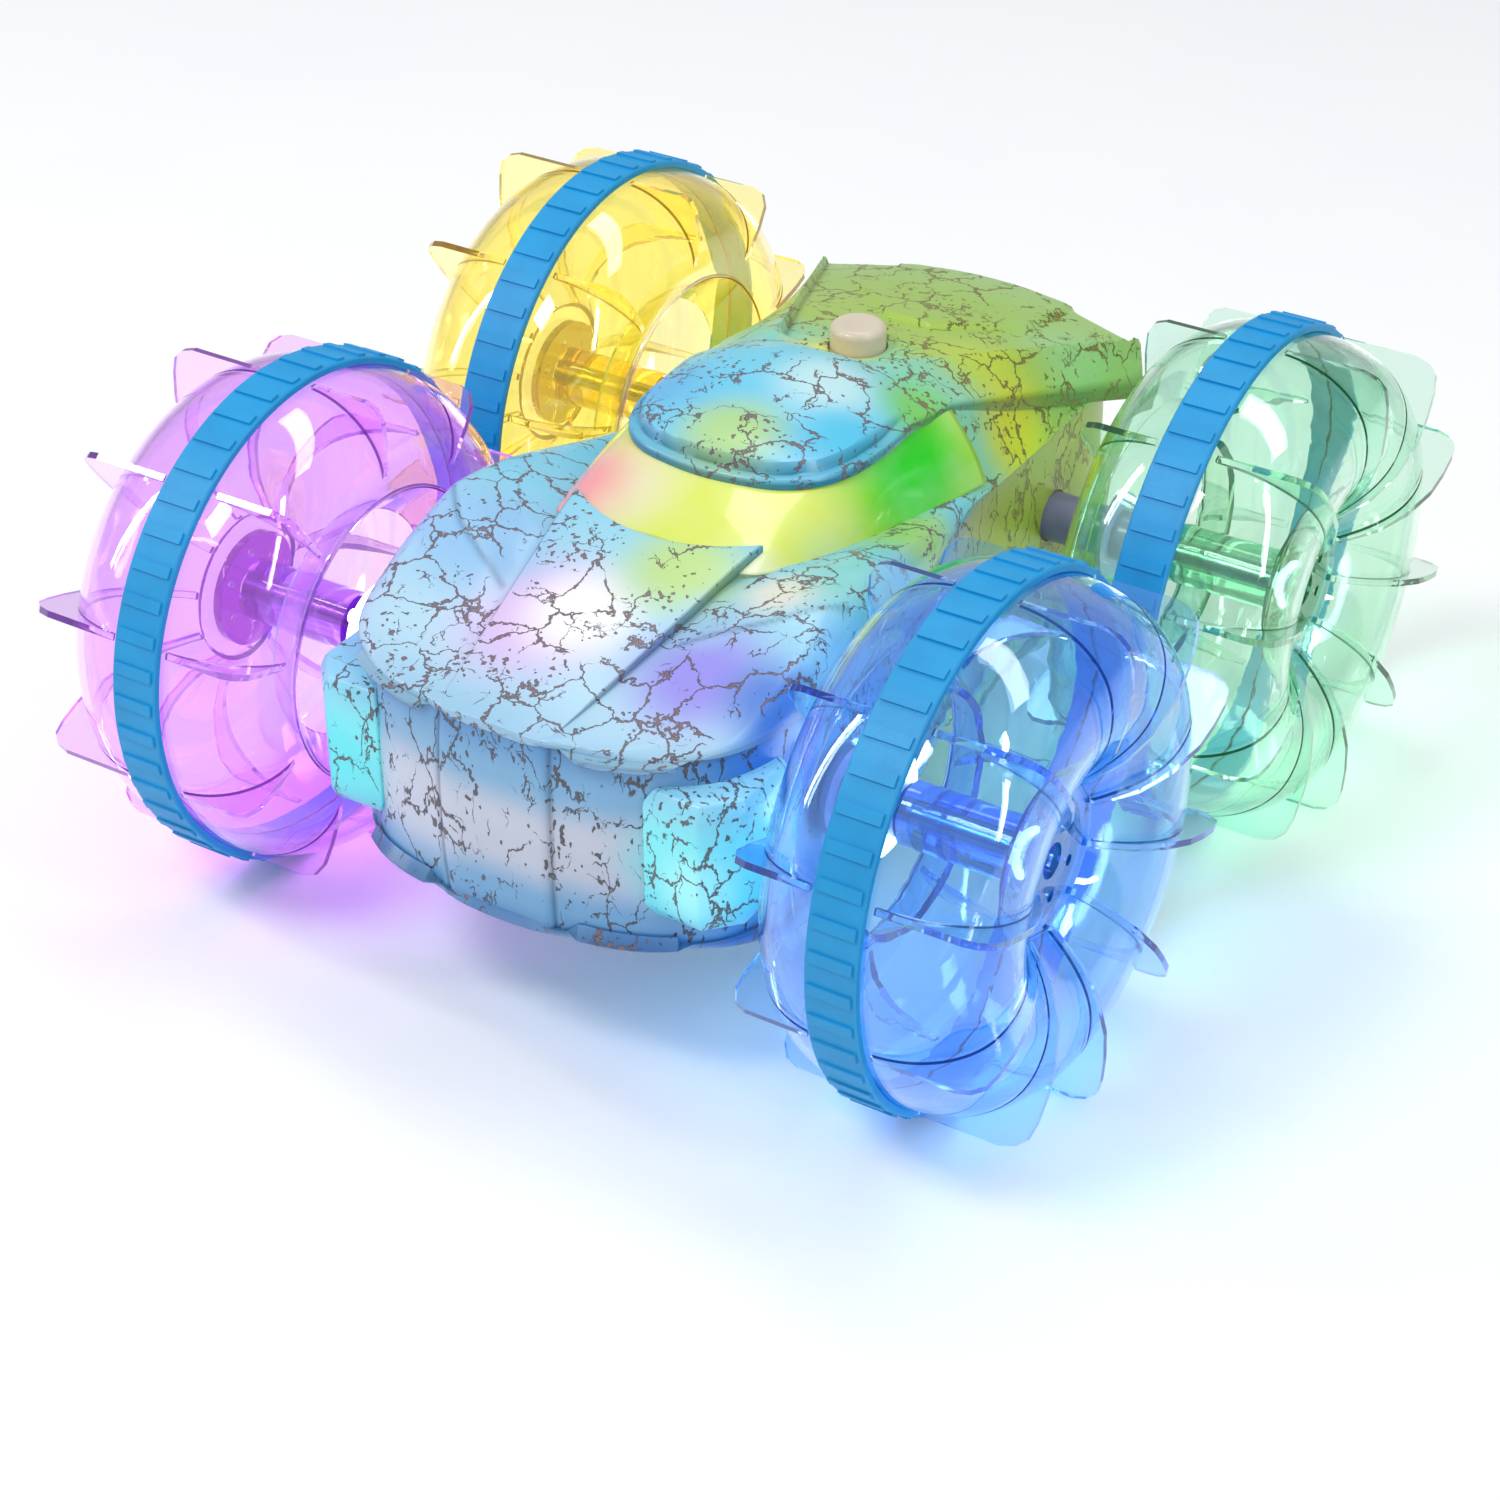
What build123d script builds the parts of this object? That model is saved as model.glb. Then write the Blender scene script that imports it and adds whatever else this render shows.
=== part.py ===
from build123d import *
from math import cos, pi, radians, sin
import os

# Double-sided amphibious stunt car. Millimetres, +Z up, -Y the front, +X the car's left.
# The origin is on the ground, under the middle of the car.

# ---------------------------------------------------------------- driving dimensions
wheel_r = 55.0                      # outer radius of the tread band
track = 2.898 * wheel_r             # between the centres of the left and right bands
wheelbase = 2.106 * wheel_r         # between the front and rear axles
axle_z = wheel_r
skin = 2.0                          # wall of the body mouldings
shell_wall = 1.5                    # wall of the clear wheel mouldings

# wheel, measured from the band's centre plane and the axle line
band_width = 0.195 * wheel_r
band_t = 2.0
rib_count, rib_h, rib_w, rib_phase = 48, 0.5, 2.4, 2.4
fin_count, fin_t = 10, 1.4
hub_disc_x, hub_disc_r, hub_hole_r = 15.4, 16.0, 3.7
hub_core_r, hub_core_in = 6.5, -14.0
axle_r = 2.0
running_gap = 0.04                  # radial clearance of the axle in its bushes

# body, heights measured from the axle plane
belt_half = 22.0                    # the belt runs this far above and below the axle plane
belt_top = axle_z + belt_half
nose_y, tail_y = -102.0, 88.0
fender_x, waist_x = 47.5, 36.5
roof_x, roof_lip_z, deck_tail_x = 27.5, 96.5, 41.8
deck_y = 95.5
window_rear_y = 24.0

# sealed case and drive train
case_x, case_y, case_half, case_wall = 33.0, 75.0, 17.0, 2.0
module = 0.8
pinion_teeth, wheel_gear_teeth, small_teeth, axle_gear_teeth = 8, 32, 10, 30
stage = module * (pinion_teeth + wheel_gear_teeth) / 2 + 0.1    # centre distance, both stages
gear_x, gear_w = 19.4, 4.0          # inner face and width of the first stage
axle_gear_x, axle_gear_w = 24.4, 5.0
web_x, web_t = 16.9, 2.0            # web that carries the motors and the gear pins
motor_r, motor_flat, motor_len = 7.7, 12.0, 15.8
shaft_r, pin_r = 0.75, 1.0
housing_r, housing_end, flange_r = 5.5, 64.5, 9.5
bush_r, bush_len, seal_len = 4.0, 6.0, 3.0

# power button in the dish of the upper deck
button_y, button_r, button_h, button_travel = 33.6, 6.0, 5.0, 1.5
button_base_z = 97.6

corners = {
    "front_left": (1, -1), "front_right": (-1, -1), "rear_left": (1, 1), "rear_right": (-1, 1),
}
pieces = {}


def keep(name, part):
    """Label a finished piece and hold it for export."""
    part.label = name
    pieces[name] = part
    return part


def side_plane(sx, y, x, z=axle_z):
    """Plane across an axle at distance x from the middle, facing outwards."""
    return Plane(origin=(sx * x, y, z), x_dir=(0, sx, 0), z_dir=(sx, 0, 0))


def place(suffix, part, turn_rear=False):
    """Copy a left-hand piece, modelled on an axle along X through the origin, to all four wheels."""
    for name, (sx, sy) in corners.items():
        copy = part
        if sx < 0:
            copy = mirror(copy, about=Plane.YZ)
        if turn_rear and sy > 0:
            copy = mirror(copy, about=Plane.XZ)
        keep(name + "_" + suffix, Pos(0, sy * wheelbase / 2, axle_z) * copy)


# ---------------------------------------------------------------- wheels
# Paths of the wall's middle, as (distance from the band's centre, radius).
outer_path = [(0.2, 51.8), (7.0, 51.9), (14.0, 50.4), (20.0, 47.0), (24.0, 42.2), (25.6, 36.0),
              (25.0, 29.5), (21.8, 23.0), (hub_disc_x, hub_disc_r)]
inner_path = [(-0.2, 51.8), (-7.0, 51.9), (-13.0, 50.2), (-18.0, 46.8), (-21.4, 42.0),
              (-22.6, 37.0), (-21.9, 31.8)]
lip_end = (-12.4, 24.8)
outer_fin = [(6.6, 53.3), (23.7, 53.3), (26.6, 52.4), (28.7, 50.4), (29.5, 47.0), (29.8, 41.5),
             (29.5, 35.5), (27.4, 28.0), (23.6, 21.4), (hub_disc_x + 1.8, hub_disc_r - 0.6)]
inner_fin = [(-6.6, 53.3), (-19.9, 53.3), (-22.5, 52.3), (-24.0, 49.6), (-24.2, 45.0),
             (-23.8, 39.0), (-22.6, 32.6)]


def fins(plane, outline, path):
    """Ten radial paddle fins around a wheel half, from the wall's middle outwards."""
    for k in range(fin_count):
        with BuildSketch(plane.rotated((360 / fin_count * k, 0, 0))) as fin:
            with BuildLine():
                Polyline(*outline, *reversed(path[1:]), close=True)
            make_face()
        extrude(fin.sketch, amount=fin_t / 2, both=True)


wheel = Plane(origin=(track / 2, 0, 0), x_dir=(1, 0, 0), z_dir=(0, -1, 0))
hub_face = hub_disc_x - shell_wall / 2


def wheel_slice(x):
    """Plane across the left wheel at distance x from the band's centre."""
    return side_plane(1, 0, track / 2 + x, 0)


# outer half: dome, dished face and hub disc in one clear moulding, with its fins
with BuildPart() as outer_shell:
    with BuildSketch(wheel):
        with BuildLine():
            Spline(*outer_path)
        trace(line_width=shell_wall)
    revolve(axis=Axis.X)
    with BuildSketch(wheel_slice(hub_face)):
        Circle(hub_disc_r + 0.6)
        Circle(hub_hole_r, mode=Mode.SUBTRACT)
        with PolarLocations(hub_hole_r + 4.5, 6, start_angle=30):
            Circle(1.2, mode=Mode.SUBTRACT)
    extrude(amount=shell_wall)
    fins(wheel, outer_fin, outer_path)
place("outer_shell", outer_shell.part)

# inner half: dome, open mouth and the conical lip that turns back in
with BuildPart() as inner_shell:
    with BuildSketch(wheel):
        with BuildLine():
            Spline(*inner_path)
        trace(line_width=shell_wall)
    revolve(axis=Axis.X)
    with BuildSketch(wheel):
        with BuildLine():
            Line(inner_path[-1], lip_end)
        trace(line_width=shell_wall)
    revolve(axis=Axis.X)
    fins(wheel, inner_fin, inner_path)
place("inner_shell", inner_shell.part)

# tread band: a rubber hoop with cross ribs that stop short of its edges
with BuildPart() as tread_band:
    with BuildSketch(wheel_slice(0)):
        Circle(wheel_r - rib_h)
        Circle(wheel_r - band_t, mode=Mode.SUBTRACT)
    extrude(amount=band_width / 2, both=True)
    chamfer(tread_band.edges().filter_by(GeomType.CIRCLE).filter_by(
        lambda edge: edge.radius > wheel_r - 1), length=0.3)
    with BuildSketch(wheel_slice(0)):
        with PolarLocations(wheel_r - rib_h, rib_count, start_angle=rib_phase):
            Rectangle(2 * rib_h, rib_w)
    extrude(amount=band_width / 2 - 0.8, both=True)
place("tread_band", tread_band.part)

# hub core: flange behind the hub disc and the tube that grips the axle
with BuildPart() as hub_core:
    with BuildSketch(wheel_slice(hub_core_in)):
        Circle(hub_core_r)
    extrude(amount=hub_face - hub_core_in)
    with BuildSketch(wheel_slice(hub_face - 2)):
        Circle(12.5)
    extrude(amount=2)
    with BuildSketch(wheel_slice(hub_core_in)):
        Circle(axle_r)
    extrude(amount=hub_face - hub_core_in, mode=Mode.SUBTRACT)
place("hub_core", hub_core.part)

# steel axle, from the axle gear to the hub
with BuildPart() as axle:
    with BuildSketch(side_plane(1, 0, axle_gear_x - 1, 0)):
        Circle(axle_r)
    extrude(amount=track / 2 + hub_face - axle_gear_x + 1)
    chamfer(axle.edges().filter_by(GeomType.CIRCLE), length=0.3)
place("axle", axle.part)


# ---------------------------------------------------------------- gears
def gear_outline(teeth, phase_deg):
    """Straight-flanked tooth outline with a little backlash."""
    pitch = module * teeth / 2
    tip, root = pitch + 0.85 * module, pitch - 1.15 * module
    step = 2 * pi / teeth
    points = []
    for k in range(teeth):
        centre = radians(phase_deg) + k * step
        for radius, share in ((root, -0.36), (tip, -0.11), (tip, 0.11), (root, 0.36)):
            angle = centre + share * step
            points.append((radius * cos(angle), radius * sin(angle)))
    return points


def gear_disc(y, x, teeth, width, phase_deg):
    """Add one spur gear on the left side, centred on y, from x outwards."""
    with BuildSketch(side_plane(1, y, x, 0)) as gear:
        with BuildLine():
            Polyline(*gear_outline(teeth, phase_deg), close=True)
        make_face()
    extrude(gear.sketch, amount=width)


def bore(sx, y, x, radius, depth, z=axle_z):
    """Cut a round hole along an axle line."""
    with BuildSketch(side_plane(sx, y, x, z)) as hole:
        Circle(radius)
    extrude(hole.sketch, amount=depth, mode=Mode.SUBTRACT)


# One train, modelled on the front left axle line and mirrored to the others.
# The stages lie in a row towards the middle; a tooth of each wheel faces a gap of its driver.
axle_gear_end = axle_gear_x + axle_gear_w

with BuildPart() as axle_gear:
    gear_disc(0, axle_gear_x, axle_gear_teeth, axle_gear_w, 0)
    bore(1, 0, axle_gear_x, axle_r, axle_gear_w, 0)
place("axle_gear", axle_gear.part, turn_rear=True)

with BuildPart() as compound_gear:
    gear_disc(stage, gear_x, wheel_gear_teeth, gear_w, 0)
    gear_disc(stage, gear_x + gear_w, small_teeth, axle_gear_end - gear_x - gear_w,
              180 + 180 / small_teeth)
    bore(1, stage, gear_x, pin_r + running_gap, axle_gear_end - gear_x, 0)
place("compound_gear", compound_gear.part, turn_rear=True)

with BuildPart() as motor_pinion:
    gear_disc(2 * stage, gear_x, pinion_teeth, gear_w, 180 + 180 / pinion_teeth)
    with BuildSketch(side_plane(1, 2 * stage, web_x - 1.5, 0)):
        Circle(shaft_r)
    extrude(amount=gear_x + gear_w - web_x + 2)
place("motor_pinion", motor_pinion.part, turn_rear=True)

# small can motor with two flats
with BuildPart() as motor:
    with BuildSketch(side_plane(1, 2 * stage, web_x - motor_len - 0.1, 0)):
        Circle(motor_r)
        Rectangle(2 * motor_r, motor_flat, mode=Mode.INTERSECT)
    extrude(amount=motor_len)
    chamfer(motor.faces().sort_by(Axis.X)[-1].edges(), length=0.5)
    bore(1, 2 * stage, web_x - 2, shaft_r + running_gap, 4, 0)
place("motor", motor.part, turn_rear=True)

# ---------------------------------------------------------------- sealed case
motor_ys = [s * (wheelbase / 2 - 2 * stage) for s in (-1, 1)]
idler_ys = [s * (wheelbase / 2 - stage) for s in (-1, 1)]
axle_ys = [s * wheelbase / 2 for s in (-1, 1)]
boss_points = [(sx * x, sy * y) for sx, sy in corners.values() for x, y in ((14, 66), (10, 44))]
seam = 0.6                          # half the gasket's thickness
screw_r, screw_reach = 0.9, 8.0
cradle_x, cradle_y, cradle_z = 34.0, 56.0, 16.0
cell_r, cell_len = 7.1, 50.0

with BuildPart() as case_half_box:
    with BuildSketch(Plane.XY.offset(axle_z - case_half)):
        RectangleRounded(2 * case_x, 2 * case_y, 5)
    extrude(amount=case_half - seam)
    with BuildSketch(Plane.XY.offset(axle_z - case_half + case_wall)):
        RectangleRounded(2 * (case_x - case_wall), 2 * (case_y - case_wall), 3)
    extrude(amount=case_half, mode=Mode.SUBTRACT)
    with BuildSketch(Plane.XY.offset(axle_z - case_half + case_wall)):
        with Locations(*[(sx * (web_x + web_t / 2), sy * 31.6) for sx, sy in corners.values()]):
            Rectangle(web_t, 33)
    extrude(amount=case_half - case_wall - seam)
    with BuildSketch(Plane.XY.offset(axle_z - case_half + case_wall)):
        with Locations(*boss_points):
            Circle(2.6)
    extrude(amount=case_half - case_wall - seam)
    for side in (-1, 1):
        for y in axle_ys:
            bore(side, y, case_x - case_wall - 1, housing_r, case_wall + 2)
        for y in idler_ys:
            bore(side, y, web_x - 0.5, pin_r, web_t + 1)
            bore(side, y, case_x - case_wall - 0.5, pin_r, 1.5)
        for y in motor_ys:
            bore(side, y, web_x - 0.5, shaft_r + 0.5, web_t + 1)
with BuildPart() as case_lid:
    mirror(case_half_box.part, about=Plane.XY.offset(axle_z))
    with BuildSketch(Plane.XY.offset(axle_z + seam)):
        with Locations(*boss_points):
            Circle(screw_r)
    extrude(amount=screw_reach, mode=Mode.SUBTRACT)
with BuildPart() as case_tray:
    add(case_half_box.part)
    with BuildSketch(Plane.XY.offset(axle_z - case_half)):
        with Locations(*boss_points):
            Circle(screw_r + 0.2)
    extrude(amount=case_half, mode=Mode.SUBTRACT)
    with BuildSketch(Plane.XY.offset(axle_z - case_half)):
        with Locations(*boss_points):
            Circle(2.2)
    extrude(amount=2, mode=Mode.SUBTRACT)
    # battery cradle that hangs from the tray towards the door in the lower roof
    with BuildSketch(Plane.XY.offset(cradle_z)):
        RectangleRounded(cradle_x, cradle_y, 3)
        RectangleRounded(cradle_x - 3, cradle_y - 3, 1.5, mode=Mode.SUBTRACT)
    extrude(amount=axle_z - case_half - cradle_z)
keep("case_tray", case_tray.part)
keep("case_lid", case_lid.part)

with BuildPart() as case_gasket:
    with BuildSketch(Plane.XY.offset(axle_z - seam)):
        RectangleRounded(2 * case_x, 2 * case_y, 5)
        RectangleRounded(2 * (case_x - case_wall), 2 * (case_y - case_wall), 3, mode=Mode.SUBTRACT)
    extrude(amount=2 * seam)
    for side in (-1, 1):
        for y in axle_ys:
            bore(side, y, case_x - case_wall - 1, housing_r, case_wall + 2)
        for y in idler_ys:
            bore(side, y, case_x - case_wall - 0.5, pin_r, 1.5)
keep("case_gasket", case_gasket.part)


def each_corner(build):
    """Repeat a small static piece at the four wheels, as separate solids of one node."""
    with BuildPart() as group:
        for sx, sy in corners.values():
            build(sx, sy * wheelbase / 2)
    return group.part


def tube(sx, y, x, length, outside, inside):
    """Add a plain tube on an axle line."""
    with BuildSketch(side_plane(sx, y, x)) as ring:
        Circle(outside)
        Circle(inside, mode=Mode.SUBTRACT)
    extrude(ring.sketch, amount=length)


def axle_housing(sx, y):
    """Sleeve that carries the axle from the case out to the wheel, with its two flanges."""
    start = case_x - case_wall
    tube(sx, y, start, housing_end - start, housing_r, bush_r)
    tube(sx, y, case_x, 1.2, flange_r, housing_r - 0.5)
    tube(sx, y, 50.0, 1.6, flange_r, housing_r - 0.5)


def axle_bushes(sx, y):
    """Two sintered bushes, at the inner and outer ends of the sleeve."""
    tube(sx, y, case_x - case_wall, bush_len, bush_r, axle_r + running_gap)
    tube(sx, y, housing_end - seal_len - bush_len, bush_len, bush_r, axle_r + running_gap)


def axle_seal(sx, y):
    """Rubber ring that keeps water out of the sleeve."""
    tube(sx, y, housing_end - seal_len, seal_len - 0.2, bush_r, axle_r + running_gap)


def wheel_light(sx, y):
    """Ring-shaped lamp board on the sleeve, with four domed lamps that face the wheel."""
    tube(sx, y, 60.0, 1.2, 10.5, housing_r)
    for k in range(4):
        spot = side_plane(sx, y, 61.2)
        angle = radians(45 + 90 * k)
        with BuildSketch(spot) as lamp:
            with Locations((8.0 * cos(angle), 8.0 * sin(angle))):
                Circle(1.5)
        extrude(lamp.sketch, amount=1.6)


def gear_pin(sx, y):
    """Steel pin that the compound gear turns on."""
    inner = y - (1 if y > 0 else -1) * stage
    with BuildSketch(side_plane(sx, inner, web_x)) as pin:
        Circle(pin_r)
    extrude(pin.sketch, amount=case_x - case_wall + 1.0 - web_x)


keep("axle_housings", each_corner(axle_housing))
keep("axle_bushes", each_corner(axle_bushes))
keep("axle_seals", each_corner(axle_seal))
keep("wheel_lights", each_corner(wheel_light))
keep("gear_pins", each_corner(gear_pin))

with BuildPart() as case_screws:
    with BuildSketch(Plane.XY.offset(axle_z - case_half + 0.2)):
        with Locations(*boss_points):
            Circle(2.0)
    extrude(amount=1.8)
    with BuildSketch(Plane.XY.offset(axle_z - case_half + 2)):
        with Locations(*boss_points):
            Circle(screw_r)
    extrude(amount=case_half - 2 + seam + screw_reach - 0.5)
keep("case_screws", case_screws.part)


# ---------------------------------------------------------------- body mouldings
def shift(x, y, heading_deg, inset):
    """Point of an outline, moved inwards against its outward heading (0 is +X, -90 is -Y)."""
    return (x - inset * cos(radians(heading_deg)), y - inset * sin(radians(heading_deg)))


def plan_outline(inset):
    """Belt plan: blunt nose, rounded corners, wide fenders and a narrower waist and tail."""
    with BuildSketch() as plan:
        with BuildLine():
            nose = Line((0, nose_y + inset), (12.5 - 0.1 * inset, nose_y + inset))
            corner = Spline(nose @ 1, shift(30, -96.7, -65, inset), shift(41.5, -88, -42, inset),
                            (fender_x - inset, -70), tangents=[(1, 0), (0, 1)])
            fender = Line(corner @ 1, (fender_x - inset, -38))
            waist = Spline(fender @ 1, shift(42.5, -8, 14, inset), (waist_x - inset, 18),
                           tangents=[(0, 1), (0, 1)])
            side = Line(waist @ 1, (waist_x - inset, tail_y - 8))
            turn = Line(side @ 1, (waist_x - 6 - 0.3 * inset, tail_y - inset))
            Line(turn @ 1, (0, tail_y - inset))
            mirror(about=Plane.YZ)
        make_face()
    return plan.sketch


def side_profile(points, inset):
    """Closed side view, in Y and Z, swept right across the car."""
    with BuildSketch(Plane.YZ) as view:
        with BuildLine():
            Polyline(*points, close=True)
        make_face()
        if inset:
            offset(amount=-inset, kind=Kind.INTERSECTION, mode=Mode.REPLACE)
    extrude(view.sketch, amount=60, both=True, mode=Mode.INTERSECT)


low_z = belt_top - 6                # the volumes start below the belt's top and are trimmed there


def hood_volume(inset):
    """Hood and fenders, rising from the nose and falling away beside the cabin."""
    with BuildPart() as volume:
        with BuildSketch(Plane.XY.offset(low_z)):
            add(plan_outline(inset))
        extrude(amount=40)
        side_profile([(nose_y - 1, low_z - 8), (nose_y - 1, belt_top), (nose_y, belt_top),
                      (-88, 80.6), (-60, 87.9), (-41, 92.3), (-25, 86.5), (0, 81.5),
                      (window_rear_y, 79.6), (tail_y + 1, 79), (tail_y + 1, low_z - 8)], inset)
    return volume.part


def cabin_volume(inset):
    """Tapered cabin between the hood and the roof, with raked window faces."""
    with BuildPart() as volume:
        with BuildSketch(Plane.XY.offset(low_z)):
            with BuildLine():
                Polyline((0, -52), (19, -51), (24.5, -45), (30, -26), (37, 0), (37, tail_y),
                         (0, tail_y))
                mirror(about=Plane.YZ)
            make_face()
            if inset:
                offset(amount=-inset, kind=Kind.INTERSECTION, mode=Mode.REPLACE)
        extrude(amount=40)
        side_profile([(-54, low_z - 8), (-54, 88), (-48, 91.3), (-29, roof_lip_z), (0, 101),
                      (window_rear_y, 99), (tail_y + 2, 88), (tail_y + 2, low_z - 8)], inset)
        with BuildSketch(Plane.XZ):
            with BuildLine():
                Polyline((-38.8, low_z - 6), (-roof_x, roof_lip_z), (-roof_x, 110), (roof_x, 110),
                         (roof_x, roof_lip_z), (38.8, low_z - 6), close=True)
            make_face()
            if inset:
                offset(amount=-inset, kind=Kind.INTERSECTION, mode=Mode.REPLACE)
        extrude(amount=120, both=True, mode=Mode.INTERSECT)
    return volume.part


def deck_volume(inset):
    """Roof and rear deck: rounded front lip, crown, button dish and a tail that widens."""
    with BuildPart() as volume:
        with BuildSketch(Plane.XY.offset(low_z)):
            with BuildLine():
                front = Spline((0, -29 + inset), shift(15, -26.6, -70, inset),
                               shift(23.5, -19, -42, inset), (roof_x - inset, -4),
                               tangents=[(1, 0), (0, 1)])
                flank = Line(front @ 1, (roof_x - inset, window_rear_y))
                Polyline(flank @ 1, (deck_tail_x - inset, tail_y - inset),
                         (37.0 - inset, tail_y - inset), (21.0, deck_y - 1.5 - inset),
                         (0, deck_y - inset))
                mirror(about=Plane.YZ)
            make_face()
        extrude(amount=40)
        drop = 3 * inset                # an inner volume opens downwards into the cabin
        side_profile([(-31, roof_lip_z - drop), (-31, roof_lip_z + 0.9), (-25, 99.0),
                      (-8, 103.6), (6, 105.6), (16, 104.4), (25, 99.6), (30, 98.0), (38, 97.2),
                      (54, 93.6), (deck_y + 1, 87.6), (deck_y + 1, 76 - drop), (70, 80 - drop),
                      (window_rear_y + 4, 92 - drop), (10, roof_lip_z - drop)], inset)
    return volume.part


def union_of(inset):
    """The whole upper half of the body as one closed volume."""
    with BuildPart() as volume:
        add(hood_volume(inset))
        add(cabin_volume(inset))
        add(deck_volume(inset))
    return volume.part


window_space = [(-60, 70), (-60, roof_lip_z), (window_rear_y - 1, roof_lip_z),
                (window_rear_y + 1.5, 78), (window_rear_y, 70)]


def cut_below(z):
    """Trim everything under a height."""
    with BuildSketch(Plane.XY.offset(z)) as block:
        Rectangle(300, 300)
    extrude(block.sketch, amount=-60, mode=Mode.SUBTRACT)


with BuildPart() as upper_skin:
    add(union_of(0))
    add(union_of(skin), mode=Mode.SUBTRACT)
    cut_below(belt_top)
with BuildPart() as glazing_space:
    with BuildSketch(Plane.YZ):
        with BuildLine():
            Polyline(*window_space, close=True)
        make_face()
    extrude(amount=60, both=True)
    add(hood_volume(0), mode=Mode.SUBTRACT)

# power button: cap, retaining flange and stem, in a hole through the upper deck
button_flange_z = button_base_z - skin - 0.5
button_floor_z = button_flange_z - 8.0
with BuildPart() as power_button:
    with BuildSketch(Plane.XY.offset(button_flange_z - 1.2)):
        with Locations((0, button_y)):
            Circle(button_r + 1.5)
    extrude(amount=1.2)
    with BuildSketch(Plane.XY.offset(button_flange_z)):
        with Locations((0, button_y)):
            Circle(button_r)
    extrude(amount=button_base_z + button_h - button_flange_z)
    fillet(power_button.faces().sort_by(Axis.Z)[-1].edges(), radius=1.8)
    with BuildSketch(Plane.XY.offset(button_floor_z - 2.0)):
        with Locations((0, button_y)):
            Circle(1.8)
    extrude(amount=button_flange_z - 1.2 - button_floor_z + 2.0)
keep("power_button", power_button.part)

# collar under the deck: it guides the stem and seats the spring
with BuildPart() as button_collar:
    with BuildSketch(Plane.XY.offset(button_floor_z - 1.5)):
        with Locations((0, button_y)):
            Circle(button_r + 3.8)
    extrude(amount=14)
    with BuildSketch(Plane.XY.offset(button_floor_z)):
        with Locations((0, button_y)):
            Circle(button_r + 2.2)
    extrude(amount=14, mode=Mode.SUBTRACT)
    with BuildSketch(Plane.XY.offset(button_floor_z - 2)):
        with Locations((0, button_y)):
            Circle(2.1)
    extrude(amount=3, mode=Mode.SUBTRACT)
    add(deck_volume(skin), mode=Mode.INTERSECT)
keep("button_collar", button_collar.part)

spring_wire, spring_turn_r = 0.35, 3.3
with BuildPart() as button_spring:
    with BuildLine(Plane.XY.offset(button_floor_z + spring_wire + 0.05)):
        coil = Helix(pitch=1.35, height=button_flange_z - 1.2 - button_floor_z - 2 * spring_wire - 0.1,
                     radius=spring_turn_r, center=(0, button_y, 0))
    with BuildSketch(Plane(origin=coil @ 0, z_dir=coil % 0)):
        Circle(spring_wire)
    sweep(is_frenet=True)
keep("button_spring", button_spring.part)

with BuildPart() as upper_window:
    add(upper_skin.part)
    add(glazing_space.part, mode=Mode.INTERSECT)
keep("upper_window", upper_window.part)

with BuildPart() as plain_cover:
    add(upper_skin.part)
    add(glazing_space.part, mode=Mode.SUBTRACT)
    # raised panel on the rear deck
    with BuildSketch(Plane.XY.offset(84)):
        with BuildLine():
            Polyline((0, 52.5), (5.5, 53), (20, 74), (24, 84), (10, 90), (0, 90))
            mirror(about=Plane.YZ)
        make_face()
    extrude(amount=10)
    with BuildSketch(Plane.YZ):
        with BuildLine():
            Polyline((40, 110), (40, 97.7), (54, 94.6), (92, 89.2), (92, 110), close=True)
        make_face()
    extrude(amount=16, both=True, mode=Mode.SUBTRACT)
with BuildPart() as upper_cover:
    add(plain_cover.part)
    with BuildSketch(Plane.XY.offset(button_base_z - 6)):
        with Locations((0, button_y)):
            Circle(button_r + 0.4)
    extrude(amount=12, mode=Mode.SUBTRACT)
    # pocket above the retaining flange, so that the sloping deck clears it at rest
    with BuildSketch(Plane.XY.offset(button_base_z - 6)):
        with Locations((0, button_y)):
            Circle(button_r + 1.9)
    extrude(amount=button_flange_z + 0.15 - (button_base_z - 6), mode=Mode.SUBTRACT)
keep("upper_cover", upper_cover.part)

# underside: the same mouldings turned over, with a battery door in place of the button
door_x, door_y, door_gap = 34.0, 40.0, 0.25


def door_block(grow):
    """Straight block through the lower roof, as large as the battery door or its opening."""
    with BuildPart() as block:
        with BuildSketch(Plane.XY):
            with Locations((0, 2)):
                RectangleRounded(door_x + 2 * grow, door_y + 2 * grow, 3)
        extrude(amount=16)
    return block.part


with BuildPart() as lower_skin:
    mirror(plain_cover.part, about=Plane.XY.offset(axle_z))
with BuildPart() as lower_cover:
    add(lower_skin.part)
    add(door_block(door_gap), mode=Mode.SUBTRACT)
keep("lower_cover", lower_cover.part)
with BuildPart() as battery_door:
    add(lower_skin.part)
    add(door_block(0), mode=Mode.INTERSECT)
keep("battery_door", battery_door.part)
with BuildPart() as lower_window:
    mirror(upper_window.part, about=Plane.XY.offset(axle_z))
keep("lower_window", lower_window.part)

# belt: the upright wall around the car between the two covers, with a lamp pod at each front corner
pod_low, pod_high, pod_wall = axle_z - 13.5, axle_z + 15.5, 1.6


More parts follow.
